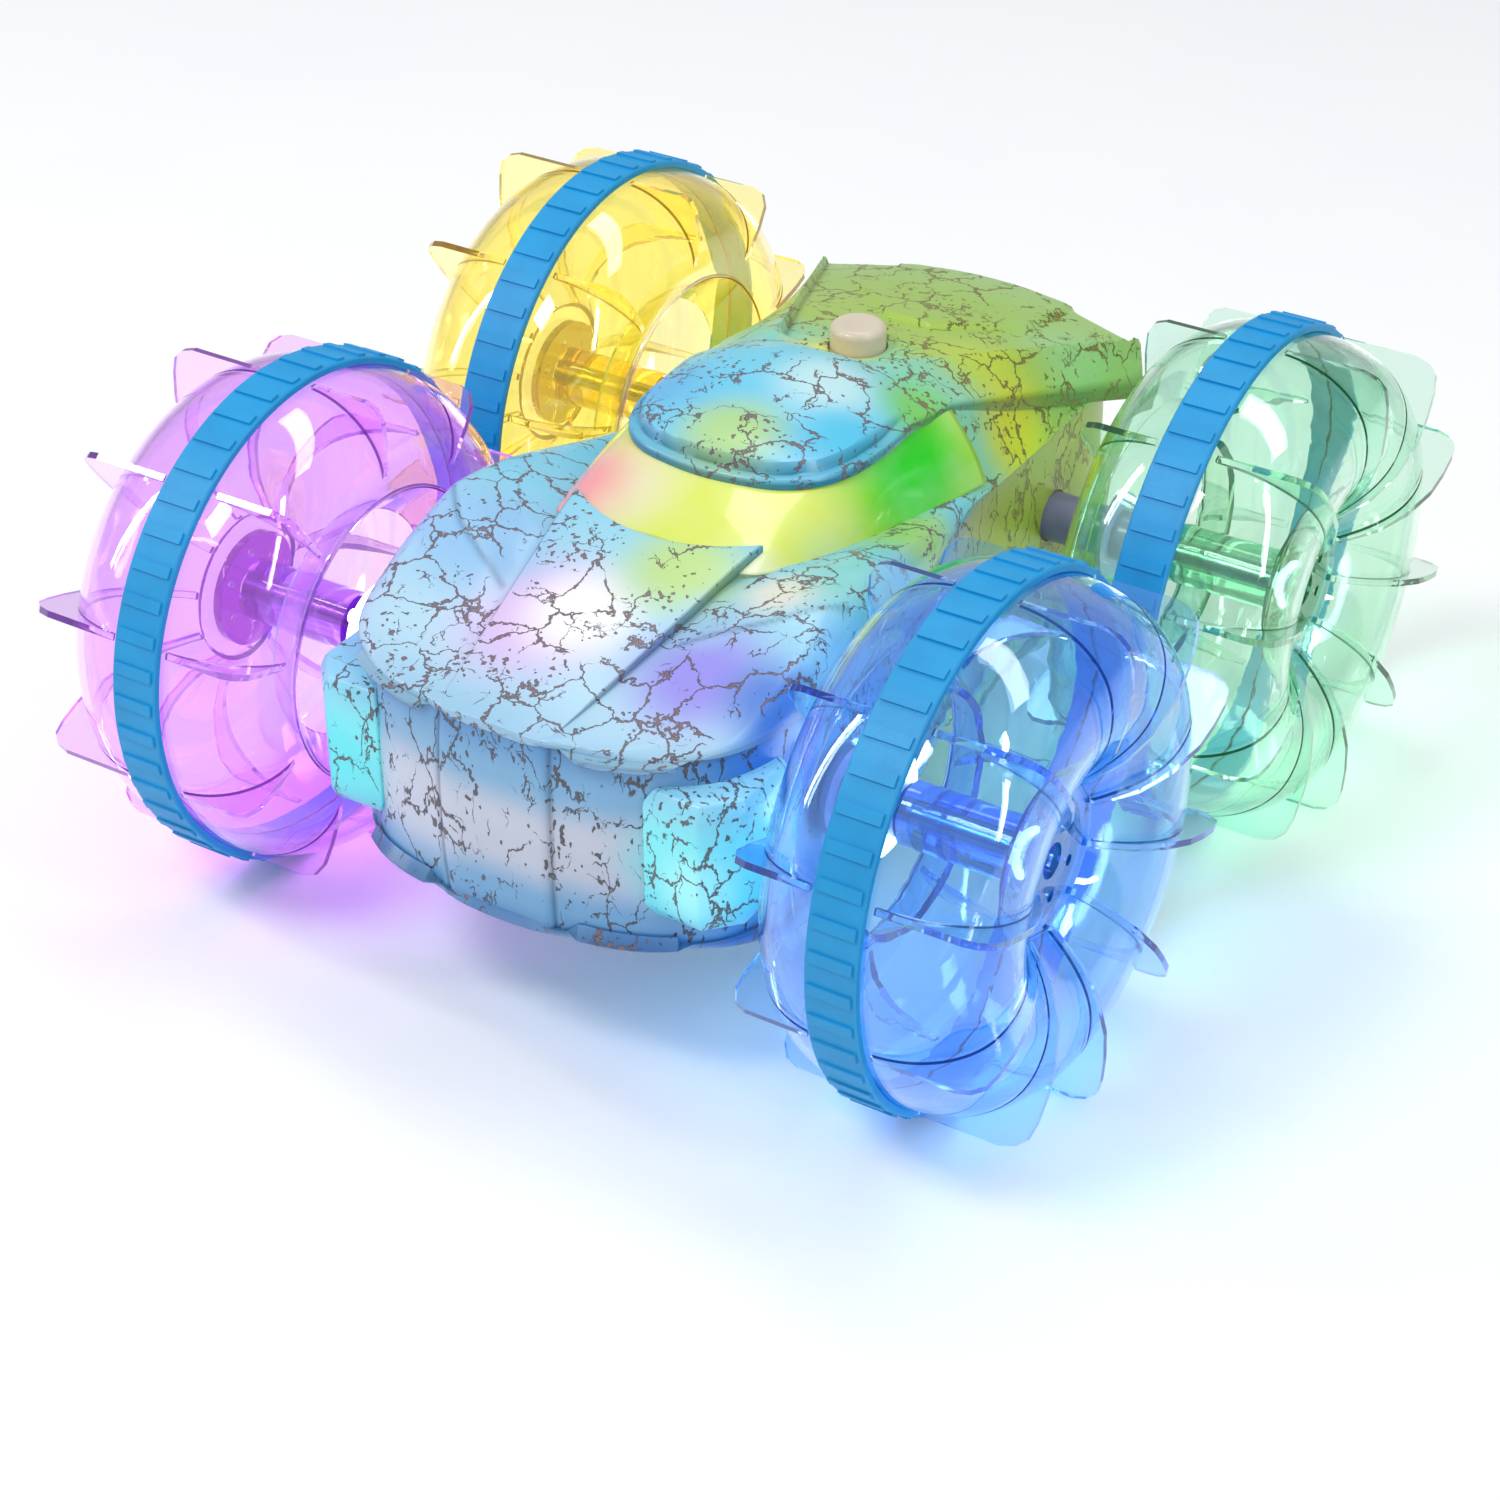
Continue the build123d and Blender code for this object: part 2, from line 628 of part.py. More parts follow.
def pod_volume(side, inset):
    """Five-sided lamp pod that stands out of a front corner, bevelled at top and bottom."""
    with BuildPart() as pod:
        with BuildSketch(Plane.XY.offset(pod_low + inset)):
            with BuildLine():
                Polyline(*[(side * x, y) for x, y in ((29.5, -97.4), (42.6, -97.0), (49.2, -90.2),
                         (49.2, -75), (46.9, -71.5), (42, -74), (32, -90))], close=True)
            make_face()
            if inset:
                offset(amount=-inset, kind=Kind.INTERSECTION, mode=Mode.REPLACE)
        extrude(amount=pod_high - pod_low - 2 * inset)
        front = pod.edges().filter_by(lambda e: e.center().Y < -93 or abs(e.center().X) > 48)
        chamfer(front.filter_by(lambda e: abs(e.tangent_at(0.5).Z) < 0.5), length=3.0)
    return pod.part


with BuildPart() as belt_frame:
    with BuildSketch(Plane.XY.offset(axle_z - belt_half)):
        add(plan_outline(0))
        add(plan_outline(skin), mode=Mode.SUBTRACT)
    extrude(amount=2 * belt_half)
    for side in (-1, 1):
        add(pod_volume(side, 0), mode=Mode.SUBTRACT)
        for y in axle_ys:
            bore(side, y, 20, housing_r + 0.3, 40)
keep("belt_frame", belt_frame.part)

with BuildPart() as belt_core:
    with BuildSketch(Plane.XY.offset(axle_z - belt_half)):
        add(plan_outline(skin))
    extrude(amount=2 * belt_half)
for name, side in (("left_headlight", 1), ("right_headlight", -1)):
    with BuildPart() as headlight:
        add(pod_volume(side, 0))
        add(pod_volume(side, pod_wall), mode=Mode.SUBTRACT)
        add(belt_core.part, mode=Mode.SUBTRACT)
    keep(name, headlight.part)

# ---------------------------------------------------------------- electronics and battery
board_t = 1.2
upper_board_z = axle_z + case_half + 2.0


def lamp_board(y, length, lamps_y):
    """Circuit board on four posts above the case, with rows of domed lamps."""
    with BuildPart() as board:
        with BuildSketch(Plane.XY.offset(upper_board_z)):
            with Locations((0, y)):
                RectangleRounded(44, length, 2)
        extrude(amount=board_t)
        with BuildSketch(Plane.XY.offset(axle_z + case_half)):
            with Locations(*[(sx * 18, y + sy * (length / 2 - 4)) for sx, sy in corners.values()]):
                Circle(1.6)
        extrude(amount=2.0)
        with BuildSketch(Plane.XY.offset(upper_board_z + board_t)):
            with Locations(*[(x, lamp_y) for x in (-14, 14) for lamp_y in lamps_y]):
                Circle(1.5)
        extrude(amount=2.2)
        fillet(board.faces().sort_by(Axis.Z)[-2 * len(lamps_y):].edges(), radius=1.0)
    return board.part


switch_top = button_floor_z - 2.0 - button_travel - 0.2
with BuildPart() as upper_led_board:
    add(lamp_board(-18, 116, (-66, -42, -18, 6)))
    with BuildSketch(Plane.XY.offset(upper_board_z + board_t)):
        with Locations((0, button_y)):
            RectangleRounded(6.2, 6.2, 0.6)
    extrude(amount=switch_top - upper_board_z - board_t)
keep("upper_led_board", upper_led_board.part)
with BuildPart() as lower_led_board:
    mirror(lamp_board(-56, 44, (-70, -56, -42)), about=Plane.XY.offset(axle_z))
keep("lower_led_board", lower_led_board.part)

control_board_z = axle_z + 3.0
with BuildPart() as control_board:
    with BuildSketch(Plane.XY.offset(control_board_z)):
        RectangleRounded(52, 26, 1.5)
    extrude(amount=board_t)
    with BuildSketch(Plane.XY.offset(control_board_z + board_t)):
        with Locations((-12, 3)):
            Rectangle(9, 6)
        with Locations((4, -4)):
            Rectangle(5, 5)
    extrude(amount=1.4)
    with BuildSketch(Plane.XY.offset(control_board_z + board_t)):
        with Locations((16, 6), (21, -6)):
            Circle(2.5)
    extrude(amount=6)
keep("control_board", control_board.part)

with BuildPart() as battery_pack:
    with BuildSketch(Plane.XZ.offset(cell_len / 2)):
        with Locations((-cell_r, cradle_z + 2 + cell_r), (cell_r, cradle_z + 2 + cell_r)):
            Circle(cell_r)
        with Locations((0, cradle_z + 2 + cell_r)):
            Rectangle(2 * cell_r, 1.6 * cell_r)
    extrude(amount=-cell_len)
    chamfer(battery_pack.faces().filter_by(Axis.Y).edges(), length=0.6)
keep("battery_pack", battery_pack.part)

# ---------------------------------------------------------------- files
os.makedirs("parts", exist_ok=True)
for name, part in pieces.items():
    export_step(part, "parts/" + name + ".step")
print(len(pieces), "pieces written")
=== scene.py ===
"""Looks of the double-sided amphibious stunt car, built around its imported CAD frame."""

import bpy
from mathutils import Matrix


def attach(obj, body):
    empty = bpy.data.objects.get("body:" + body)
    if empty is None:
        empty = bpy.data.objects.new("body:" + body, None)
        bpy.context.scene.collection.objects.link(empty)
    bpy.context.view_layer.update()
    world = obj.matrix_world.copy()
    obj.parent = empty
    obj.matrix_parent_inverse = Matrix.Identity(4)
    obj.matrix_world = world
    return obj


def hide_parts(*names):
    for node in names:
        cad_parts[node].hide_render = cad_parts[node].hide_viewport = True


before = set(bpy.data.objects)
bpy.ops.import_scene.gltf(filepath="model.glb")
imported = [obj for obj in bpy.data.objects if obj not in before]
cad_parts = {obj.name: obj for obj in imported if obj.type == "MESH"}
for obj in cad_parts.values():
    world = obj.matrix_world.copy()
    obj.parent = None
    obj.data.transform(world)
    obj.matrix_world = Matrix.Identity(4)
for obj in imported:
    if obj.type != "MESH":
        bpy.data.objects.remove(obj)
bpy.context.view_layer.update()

import logging
from dataclasses import dataclass
from enum import Enum
from math import pi, radians
from typing import Callable, Optional, Sequence

import bpy
import numpy as np
from mathutils import Matrix, Vector

log = logging.getLogger("stunt_car")
MM = 0.001
AXLE_Y, AXLE_Z = 57.9, 55.0                     # place of the axles, in mm
BELT_TOP = 77.0                                 # height where the cover meets the belt
SLEEVE_HOLE_R = 5.9                             # hole in the belt for an axle sleeve
BUTTON_HOLE_R = 6.45                            # hole in the deck for the power button
CRISP_ANGLE = 38                                # degrees, past which a cover's edge stays crisp
Hex = str
Piece = bpy.types.Object
Array = np.ndarray


# ------------------------------------------------------------------ small tools
def linear(colour: Hex) -> tuple[float, float, float, float]:
    """Turn an sRGB hex colour into linear RGBA."""
    parts = [int(colour[k:k + 2], 16) / 255 for k in (1, 3, 5)]
    return tuple(c / 12.92 if c <= 0.04045 else ((c + 0.055) / 1.055) ** 2.4 for c in parts) + (1.0,)


def add_node(tree: bpy.types.NodeTree, kind: str, inputs: Optional[dict] = None,
             **settings) -> bpy.types.Node:
    """Add one shader node.

    Args:
        tree: the material's node tree.
        kind: the node's type, without its ShaderNode prefix.
        inputs: socket name or number to a constant or to another node's output.
        settings: the node's own properties.

    Returns:
        The new node.
    """
    node = tree.nodes.new("ShaderNode" + kind)
    for name, value in settings.items():
        setattr(node, name, value)
    for key, value in (inputs or {}).items():
        if isinstance(value, bpy.types.NodeSocket):
            tree.links.new(value, node.inputs[key])
        else:
            node.inputs[key].default_value = value
    return node


def glide(knots: Sequence[Sequence[float]], at: Array) -> Array:
    """Smooth curve through given knots that never overshoots them.

    Args:
        knots: rows of a parameter and the values there, in rising order.
        at: parameters to read the curve at.

    Returns:
        One row of values for each parameter.
    """
    table = np.asarray(knots, float)
    x, y = table[:, 0], table[:, 1:]
    rise = np.diff(y, axis=0) / np.diff(x)[:, None]
    slope = np.vstack([rise[:1], (rise[:-1] + rise[1:]) / 2, rise[-1:]])
    slope[1:-1][rise[:-1] * rise[1:] <= 0] = 0
    k = np.clip(np.searchsorted(x, at, side="right") - 1, 0, len(x) - 2)
    step = (x[k + 1] - x[k])[:, None]
    s = np.clip((at - x[k])[:, None] / step, 0, 1)
    return (y[k] * (1 + 2 * s) * (1 - s) ** 2 + y[k + 1] * s * s * (3 - 2 * s)
            + step * (slope[k] * s * (1 - s) ** 2 + slope[k + 1] * s * s * (s - 1)))


def height(knots: Sequence[tuple[float, float]], at: Array) -> Array:
    """One value of a smooth curve through given knots."""
    return glide(knots, at)[:, 0]


def ease(low: float, high: float, at: Array) -> Array:
    """Smooth rise from 0 at low to 1 at high."""
    s = np.clip((at - low) / (high - low), 0, 1)
    return s * s * (3 - 2 * s)


def both_sides(half: Sequence[Sequence[float]]) -> Array:
    """Mirror a half line, given from the middle outwards, into a whole one from right to left.

    Args:
        half: rows that start with X and Y, the first one on the middle line.

    Returns:
        Rows of distance along the line, then the given columns.
    """
    left = np.asarray(half, float)
    right = left[:0:-1].copy()
    right[:, 0] *= -1
    whole = np.vstack([right, left])
    run = np.concatenate([[0], np.cumsum(np.hypot(*np.diff(whole[:, :2], axis=0).T))])
    return np.column_stack([run, whole])


# ------------------------------------------------------------------ modelling by hand
def clear_selection() -> None:
    """Leave edit mode and deselect everything."""
    if bpy.context.object and bpy.context.object.mode != "OBJECT":
        bpy.ops.object.mode_set(mode="OBJECT")
    bpy.ops.object.select_all(action="DESELECT")


def pick(*pieces: Piece) -> Piece:
    """Select only these pieces and make the first one active."""
    clear_selection()
    for piece in pieces:
        piece.select_set(True)
    bpy.context.view_layer.objects.active = pieces[0]
    return pieces[0]


def begin(kind: str, name: str, **size) -> Piece:
    """Start a piece from a primitive.

    Args:
        kind: grid, cylinder, circle or plane.
        name: the piece's name.
        size: the primitive's own settings.

    Returns:
        The new piece, active and selected.
    """
    clear_selection()
    getattr(bpy.ops.mesh, f"primitive_{kind}_add")(**size)
    piece = bpy.context.object
    piece.name = piece.data.name = name
    return piece


def modify(piece: Piece, kind: str, **settings) -> None:
    """Add a modifier to a piece and apply it."""
    pick(piece)
    step = piece.modifiers.new(kind.lower(), kind)
    for name, value in settings.items():
        setattr(step, name, value)
    bpy.ops.object.modifier_apply(modifier=step.name)


def clean(piece: Piece, outwards: bool = True) -> None:
    """Merge doubles and, if asked, turn every face outwards."""
    pick(piece)
    bpy.ops.object.mode_set(mode="EDIT")
    bpy.ops.mesh.select_all(action="SELECT")
    bpy.ops.mesh.remove_doubles(threshold=0.01 * MM)
    if outwards:
        bpy.ops.mesh.normals_make_consistent(inside=False)
    bpy.ops.object.mode_set(mode="OBJECT")


def smooth(piece: Piece, angle: float = 32.0) -> None:
    """Shade smooth, with edges sharper than an angle kept crisp."""
    pick(piece)
    bpy.ops.object.shade_smooth_by_angle(angle=radians(angle))


def twin(piece: Piece, name: str, mirror: tuple[int, int, int]) -> Piece:
    """Copy a piece with its own mesh, mirrored about the car's middle planes.

    Args:
        piece: the finished piece.
        name: the copy's name.
        mirror: -1 for each axis that is turned over; Z is turned over about the axle plane.

    Returns:
        The copy, with its faces outwards.
    """
    pick(piece)
    bpy.ops.object.duplicate()
    copy = bpy.context.object
    copy.name = copy.data.name = name
    lift = 2 * AXLE_Z * MM if mirror[2] < 0 else 0.0
    copy.matrix_world = Matrix.Translation((0, 0, lift)) @ Matrix.Diagonal((*mirror, 1))
    bpy.ops.object.transform_apply(location=True, rotation=True, scale=True)
    if mirror[0] * mirror[1] * mirror[2] < 0:
        clean(copy)
    return copy


def shade_points(piece: Piece, values: Array) -> None:
    """Store painted shade at each of a piece's points, from 0 to 1."""
    layer = piece.data.attributes.new("shade", "FLOAT", "POINT")
    layer.data.foreach_set("value", np.clip(values, 0, 1).astype(np.float32))


def line_at(value: Array, width: float) -> Array:
    """A soft line where a value passes 0."""
    return np.exp(-(value / width) ** 2)


def drape(name: str, across: int, along: int, place: Callable[[Array, Array], Array]) -> Piece:
    """Model a curved sheet: a grid primitive whose points are laid on a surface.

    Args:
        name: the piece's name.
        across: cells along u.
        along: cells along v.
        place: takes u and v from 0 to 1 and gives points in mm, and after them a share of painted shade
            where creases and edges are darker.

    Returns:
        The open sheet, with its doubles merged.
    """
    sheet = begin("grid", name, x_subdivisions=across, y_subdivisions=along, size=1)
    flat = np.empty(len(sheet.data.vertices) * 3)
    sheet.data.vertices.foreach_get("co", flat)
    flat = flat.reshape(-1, 3)
    points = place(np.clip(flat[:, 0] + 0.5, 0, 1), np.clip(flat[:, 1] + 0.5, 0, 1))
    sheet.data.vertices.foreach_set("co", (points[:, :3] * MM).ravel())
    sheet.data.update()
    if points.shape[1] > 3:
        shade_points(sheet, points[:, 3])
    clean(sheet, outwards=False)
    return sheet


def cut(piece: Piece, tool: Piece) -> None:
    """Take a closed tool's shape out of a closed piece."""
    modify(piece, "BOOLEAN", object=tool, operation="DIFFERENCE", solver="EXACT")
    bpy.data.objects.remove(tool)


def dress(piece: Piece, material: bpy.types.Material) -> None:
    """Give a piece one material."""
    piece.data.materials.clear()
    piece.data.materials.append(material)


def ride(piece: Piece, body: str, slot: str, *nodes: str) -> Piece:
    """Let a finished piece ride on a CAD body, in place of CAD nodes."""
    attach(piece, body)
    if nodes:
        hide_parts(*nodes)
    log.info("%s rides on %s, %d faces", piece.name, body, len(piece.data.polygons))
    return piece


# ------------------------------------------------------------------ finishes
@dataclass(frozen=True)
class PaintedPool:
    """A soft pool of colour painted inside the shell: painted light where it is brighter than the colour
    under it, painted shade where it is darker.
    """
    at: tuple[float, float, float]              # mm
    reach: float                                # mm
    colour: Hex
    strength: float = 1.0


def glowing(tree: bpy.types.NodeTree, base: bpy.types.NodeSocket | tuple[float, ...],
            place: bpy.types.NodeSocket, painted_pools: Sequence[PaintedPool]) -> bpy.types.NodeSocket:
    """Lay soft pools of painted light and painted shade over a base colour.

    Args:
        tree: the material's node tree.
        base: the colour they lie on.
        place: object coordinates.
        painted_pools: the pools, later ones on top.

    Returns:
        The mixed colour.
    """
    for glow in painted_pools:
        away = add_node(tree, "VectorMath", {0: place, 1: [c * MM for c in glow.at]}, operation="DISTANCE")
        share = add_node(tree, "MapRange", {"Value": away.outputs["Value"], "From Min": glow.reach * MM,
                                            "From Max": 0.1 * glow.reach * MM, "To Max": glow.strength},
                         interpolation_type="SMOOTHERSTEP")
        base = add_node(tree, "Mix", {0: share.outputs[0], 6: base, 7: linear(glow.colour)},
                        data_type="RGBA").outputs[2]
    return base


class Axis(Enum):
    """Direction a colour runs along."""
    ALONG = "Y"
    UP = "Z"


def colour_run(tree: bpy.types.NodeTree, place: bpy.types.NodeSocket, axis: Axis,
               stops: Sequence[tuple[float, Hex]]) -> bpy.types.NodeSocket:
    """Colour that changes along one axis, from stops in mm."""
    parts = add_node(tree, "SeparateXYZ", {0: place})
    low, high = stops[0][0], stops[-1][0]
    share = add_node(tree, "MapRange", {"Value": parts.outputs[axis.value], "From Min": low * MM,
                                        "From Max": high * MM})
    ramp = add_node(tree, "ValToRGB", {0: share.outputs[0]})
    ramp.color_ramp.interpolation = "EASE"
    while len(ramp.color_ramp.elements) < len(stops):
        ramp.color_ramp.elements.new(0.5)
    for element, (at, colour) in zip(ramp.color_ramp.elements, stops):
        element.position = (at - low) / (high - low)
    for element, (at, colour) in zip(ramp.color_ramp.elements, stops):
        element.color = linear(colour)
    return ramp.outputs[0]


def shaded(tree: bpy.types.NodeTree, colour: bpy.types.NodeSocket) -> bpy.types.NodeSocket:
    """Deepen a colour by the painted shade stored on its points, in the creases, recesses and along the
    edges.
    """
    share = add_node(tree, "Attribute", attribute_name="shade").outputs["Fac"]
    deep = add_node(tree, "HueSaturation", {"Saturation": 1.3, "Value": 0.36, "Color": colour}).outputs[0]
    return add_node(tree, "Mix", {0: share, 6: colour, 7: deep}, data_type="RGBA").outputs[2]


@dataclass(frozen=True)
class CrackleShell:
    """Milky ABS under a crackle lacquer, lit from inside by the lamp boards."""
    name: str
    axis: Axis
    stops: tuple[tuple[float, Hex], ...]
    painted_pools: tuple[PaintedPool, ...] = ()
    crack_front: Hex = "#75636B"
    crack_rear: Hex = "#7C7428"
    stretch: tuple[float, float, float] = (1.0, 1.0, 1.0)
    cell: float = 11.0                          # mm across one island of lacquer
    glow: float = 0.08

    def material(self) -> bpy.types.Material:
        """Build the material: a glowing colour with painted pools of light and shade and painted shade in
        creases and along edges, dark broken cracks and their relief.
        """
        skin = bpy.data.materials.new(self.name)
        skin.use_nodes = True
        tree = skin.node_tree
        shader = tree.nodes["Principled BSDF"]
        place = add_node(tree, "TexCoord").outputs["Object"]
        colour = glowing(tree, colour_run(tree, place, self.axis, self.stops), place, self.painted_pools)
        colour = add_node(tree, "HueSaturation", {"Saturation": 1.0, "Value": 0.8,
                                                  "Color": colour}).outputs[0]
        colour = shaded(tree, colour)
        crack = self.cracks(tree, place)
        dark = colour_run(tree, place, Axis.ALONG, ((-10, self.crack_front), (45, self.crack_rear)))
        face = add_node(tree, "Mix", {0: crack, 6: colour, 7: dark}, data_type="RGBA").outputs[2]
        relief = add_node(tree, "Bump", {"Strength": 0.9, "Distance": 0.0011, "Height": crack}, invert=True)
        for socket, value in (("Base Color", face), ("Emission Color", face), ("Normal", relief.outputs[0])):
            tree.links.new(value, shader.inputs[socket])
        shader.inputs["Emission Strength"].default_value = self.glow
        shader.inputs["Roughness"].default_value = 0.34
        shader.inputs["Coat Weight"].default_value = 0.25
        shader.inputs["Coat Roughness"].default_value = 0.2
        return skin

    def cracks(self, tree: bpy.types.NodeTree, place: bpy.types.NodeSocket) -> bpy.types.NodeSocket:
        """Broken crack lines with crumbs beside them, as a share from 0 to 1."""
        frame_at = add_node(tree, "Mapping", {"Vector": place, "Scale": self.stretch}).outputs[0]
        shake = add_node(tree, "TexNoise", {"Vector": frame_at, "Scale": 1000 / 7.0, "Detail": 4.0,
                                            "Roughness": 0.62})
        moved = add_node(tree, "VectorMath", {0: shake.outputs["Color"], 1: (0.5, 0.5, 0.5)},
                         operation="SUBTRACT").outputs[0]
        bent = add_node(tree, "VectorMath", {0: moved, 1: (0.0085, 0.0085, 0.0085), 2: frame_at},
                        operation="MULTIPLY_ADD").outputs[0]
        result = None
        for cell, width, gate in ((self.cell, 0.025, 0.43), (self.cell * 0.52, 0.031, 0.55)):
            edge = add_node(tree, "TexVoronoi", {"Vector": bent, "Scale": 1000 / cell},
                            feature="DISTANCE_TO_EDGE").outputs["Distance"]
            patch = add_node(tree, "TexNoise", {"Vector": frame_at, "Scale": 1000 / (cell * 1.1),
                                                "Detail": 3.0})
            present = add_node(tree, "MapRange", {"Value": patch.outputs["Fac"], "From Min": gate,
                                                  "From Max": gate + 0.09, "To Max": width})
            line = add_node(tree, "Math", {0: present.outputs[0], 1: edge}, operation="SUBTRACT").outputs[0]
            sharp = add_node(tree, "MapRange", {"Value": line, "From Max": 0.014}).outputs[0]
            result = sharp if result is None else add_node(
                tree, "Math", {0: result, 1: sharp}, operation="MAXIMUM").outputs[0]
        # crumbs about 0.8 mm across, drawn as coarse as they need to show
        grit = add_node(tree, "TexNoise", {"Vector": frame_at, "Scale": 1000 / 1.4, "Detail": 1.0})
        where = add_node(tree, "TexNoise", {"Vector": frame_at, "Scale": 1000 / 14.0, "Detail": 2.0})
        level = add_node(tree, "MapRange", {"Value": where.outputs["Fac"], "From Min": 0.42, "From Max": 0.62,
                                            "To Min": 0.82, "To Max": 0.62})
        over = add_node(tree, "Math", {0: grit.outputs["Fac"], 1: level.outputs[0]}, operation="SUBTRACT")
        crumb = add_node(tree, "MapRange", {"Value": over.outputs[0], "From Max": 0.04})
        return add_node(tree, "Math", {0: result, 1: crumb.outputs[0]}, operation="MAXIMUM").outputs[0]


@dataclass(frozen=True)
class MilkyGlass:
    """Smooth glowing window plastic, injection moulded and polished."""
    name: str
    base: Hex
    painted_pools: tuple[PaintedPool, ...]

    def material(self) -> bpy.types.Material:
        """Build the material: pools of painted light and shade, and painted shade along the edges, under a
        clear glossy skin.
        """
        skin = bpy.data.materials.new(self.name)
        skin.use_nodes = True
        tree = skin.node_tree
        shader = tree.nodes["Principled BSDF"]
        place = add_node(tree, "TexCoord").outputs["Object"]
        cloud = add_node(tree, "TexNoise", {"Vector": place, "Scale": 1000 / 16.0, "Detail": 3.0})
        pale = add_node(tree, "MapRange", {"Value": cloud.outputs["Fac"], "From Min": 0.4, "From Max": 0.8,
                                           "To Max": 0.16})
        colour = glowing(tree, linear(self.base), place, self.painted_pools)
        colour = add_node(tree, "Mix", {0: pale.outputs[0], 6: colour, 7: linear("#FFFFFF")},
                          data_type="RGBA").outputs[2]
        colour = add_node(tree, "HueSaturation", {"Saturation": 1.05, "Value": 0.84,
                                                  "Color": colour}).outputs[0]
        colour = shaded(tree, colour)
        for socket in ("Base Color", "Emission Color"):
            tree.links.new(colour, shader.inputs[socket])
        shader.inputs["Emission Strength"].default_value = 0.14
        shader.inputs["Roughness"].default_value = 0.22
        shader.inputs["Coat Weight"].default_value = 0.5
        return skin


@dataclass(frozen=True)
class ClearPlastic:
    """Tinted clear polycarbonate: pale through its thickness, deep along its edges."""
    name: str
    face: Hex
    depth: Hex
    density: float                              # absorption per metre
    glow: Hex
    glow_strength: float = 0.05

    def material(self) -> bpy.types.Material:
        """Build the material: smooth refraction, absorption by depth, and lamps that shine through."""
        clear = bpy.data.materials.new(self.name)
        clear.use_nodes = True
        tree = clear.node_tree
        shader = tree.nodes["Principled BSDF"]
        output = tree.nodes["Material Output"]
        # The real index is near 1.58; a lower one keeps the many thin walls readable.
        for socket, value in (("Base Color", linear(self.face)), ("Transmission Weight", 1.0),
                              ("Roughness", 0.02), ("IOR", 1.36), ("Emission Color", linear(self.glow)),
                              ("Emission Strength", self.glow_strength), ("Coat Weight", 1.0),
                              ("Coat Roughness", 0.03), ("Coat IOR", 1.6)):
            shader.inputs[socket].default_value = value
        depth = add_node(tree, "VolumeAbsorption", {"Color": linear(self.depth), "Density": self.density})
        tree.links.new(depth.outputs[0], output.inputs["Volume"])
        ray = add_node(tree, "LightPath")
        through = add_node(tree, "BsdfTransparent", {"Color": linear(self.face)})
        mixed = add_node(tree, "MixShader", {0: ray.outputs["Is Shadow Ray"], 1: shader.outputs[0],
                                             2: through.outputs[0]})
        tree.links.new(mixed.outputs[0], output.inputs["Surface"])
        return clear


@dataclass(frozen=True)
class Solid:
    """Opaque plastic, rubber, metal or board with fine grain and slight wear."""
    name: str
    colour: Hex
    shade: Hex
    grain: float                                # mm
    roughness: float = 0.45
    metallic: float = 0.0
    relief: float = 0.02                        # mm
    glow: float = 0.0
    coat: float = 0.0

    def material(self) -> bpy.types.Material:
        """Build the material: two close shades, uneven roughness and a fine relief."""
        solid = bpy.data.materials.new(self.name)
        solid.use_nodes = True
        tree = solid.node_tree
        shader = tree.nodes["Principled BSDF"]
        place = add_node(tree, "TexCoord").outputs["Object"]
        grain = add_node(tree, "TexNoise", {"Vector": place, "Scale": 1000 / self.grain, "Detail": 3.0})
        broad = add_node(tree, "TexNoise", {"Vector": place, "Scale": 1000 / (self.grain * 14),
                                            "Detail": 2.0})
        colour = add_node(tree, "Mix", {0: broad.outputs["Fac"], 6: linear(self.colour),
                                        7: linear(self.shade)}, data_type="RGBA").outputs[2]
        rough = add_node(tree, "MapRange", {"Value": grain.outputs["Fac"], "To Min": self.roughness * 0.8,
                                            "To Max": min(1.0, self.roughness * 1.2)})
        bump = add_node(tree, "Bump", {"Strength": 0.5, "Distance": self.relief * MM,
                                       "Height": grain.outputs["Fac"]})
        for socket, value in (("Base Color", colour), ("Roughness", rough.outputs[0]),
                              ("Normal", bump.outputs[0])):
            tree.links.new(value, shader.inputs[socket])
        # emission: the lamp board's own light, and painted glow on parts that are no lamp
        if self.glow:
            tree.links.new(colour, shader.inputs["Emission Color"])
            shader.inputs["Emission Strength"].default_value = self.glow
        shader.inputs["Metallic"].default_value = self.metallic
        shader.inputs["Coat Weight"].default_value = self.coat
        return solid


# ------------------------------------------------------------------ body
BODY_HALF = ((0, -102), (6, -102), (12.5, -101.7), (14.7, -100.9), (22.9, -99.3), (30, -96.7), (35.6, -93),
             (41.5, -87.7), (45.3, -80), (47.2, -70), (47.5, -55), (47.2, -38), (45.6, -25), (42.5, -8),
             (39, 6), (36.9, 18), (36.4, 30), (36.3, 60), (36, 80), (33.5, 86), (28, 88), (14, 88), (0, 88))
ROOF_HALF = ((0, -29), (8, -28.3), (15, -26.4), (20, -23.2), (23.8, -18.4), (26.2, -12), (27.3, -4),
             (27.5, 10), (27.6, 22), (28.6, 28), (31, 40), (34.2, 55), (38.4, 73), (41.4, 86), (41.7, 88),
             (37.4, 88.2), (30, 89.2), (22.8, 91.2), (21.4, 93), (14, 94.4), (6.6, 95.3), (0, 95.5))


DOOR_X, DOOR_Y, DOOR_MIDDLE, DOOR_GAP = 34.0, 40.0, 2.0, 0.25      # battery hatch and its gap, in mm


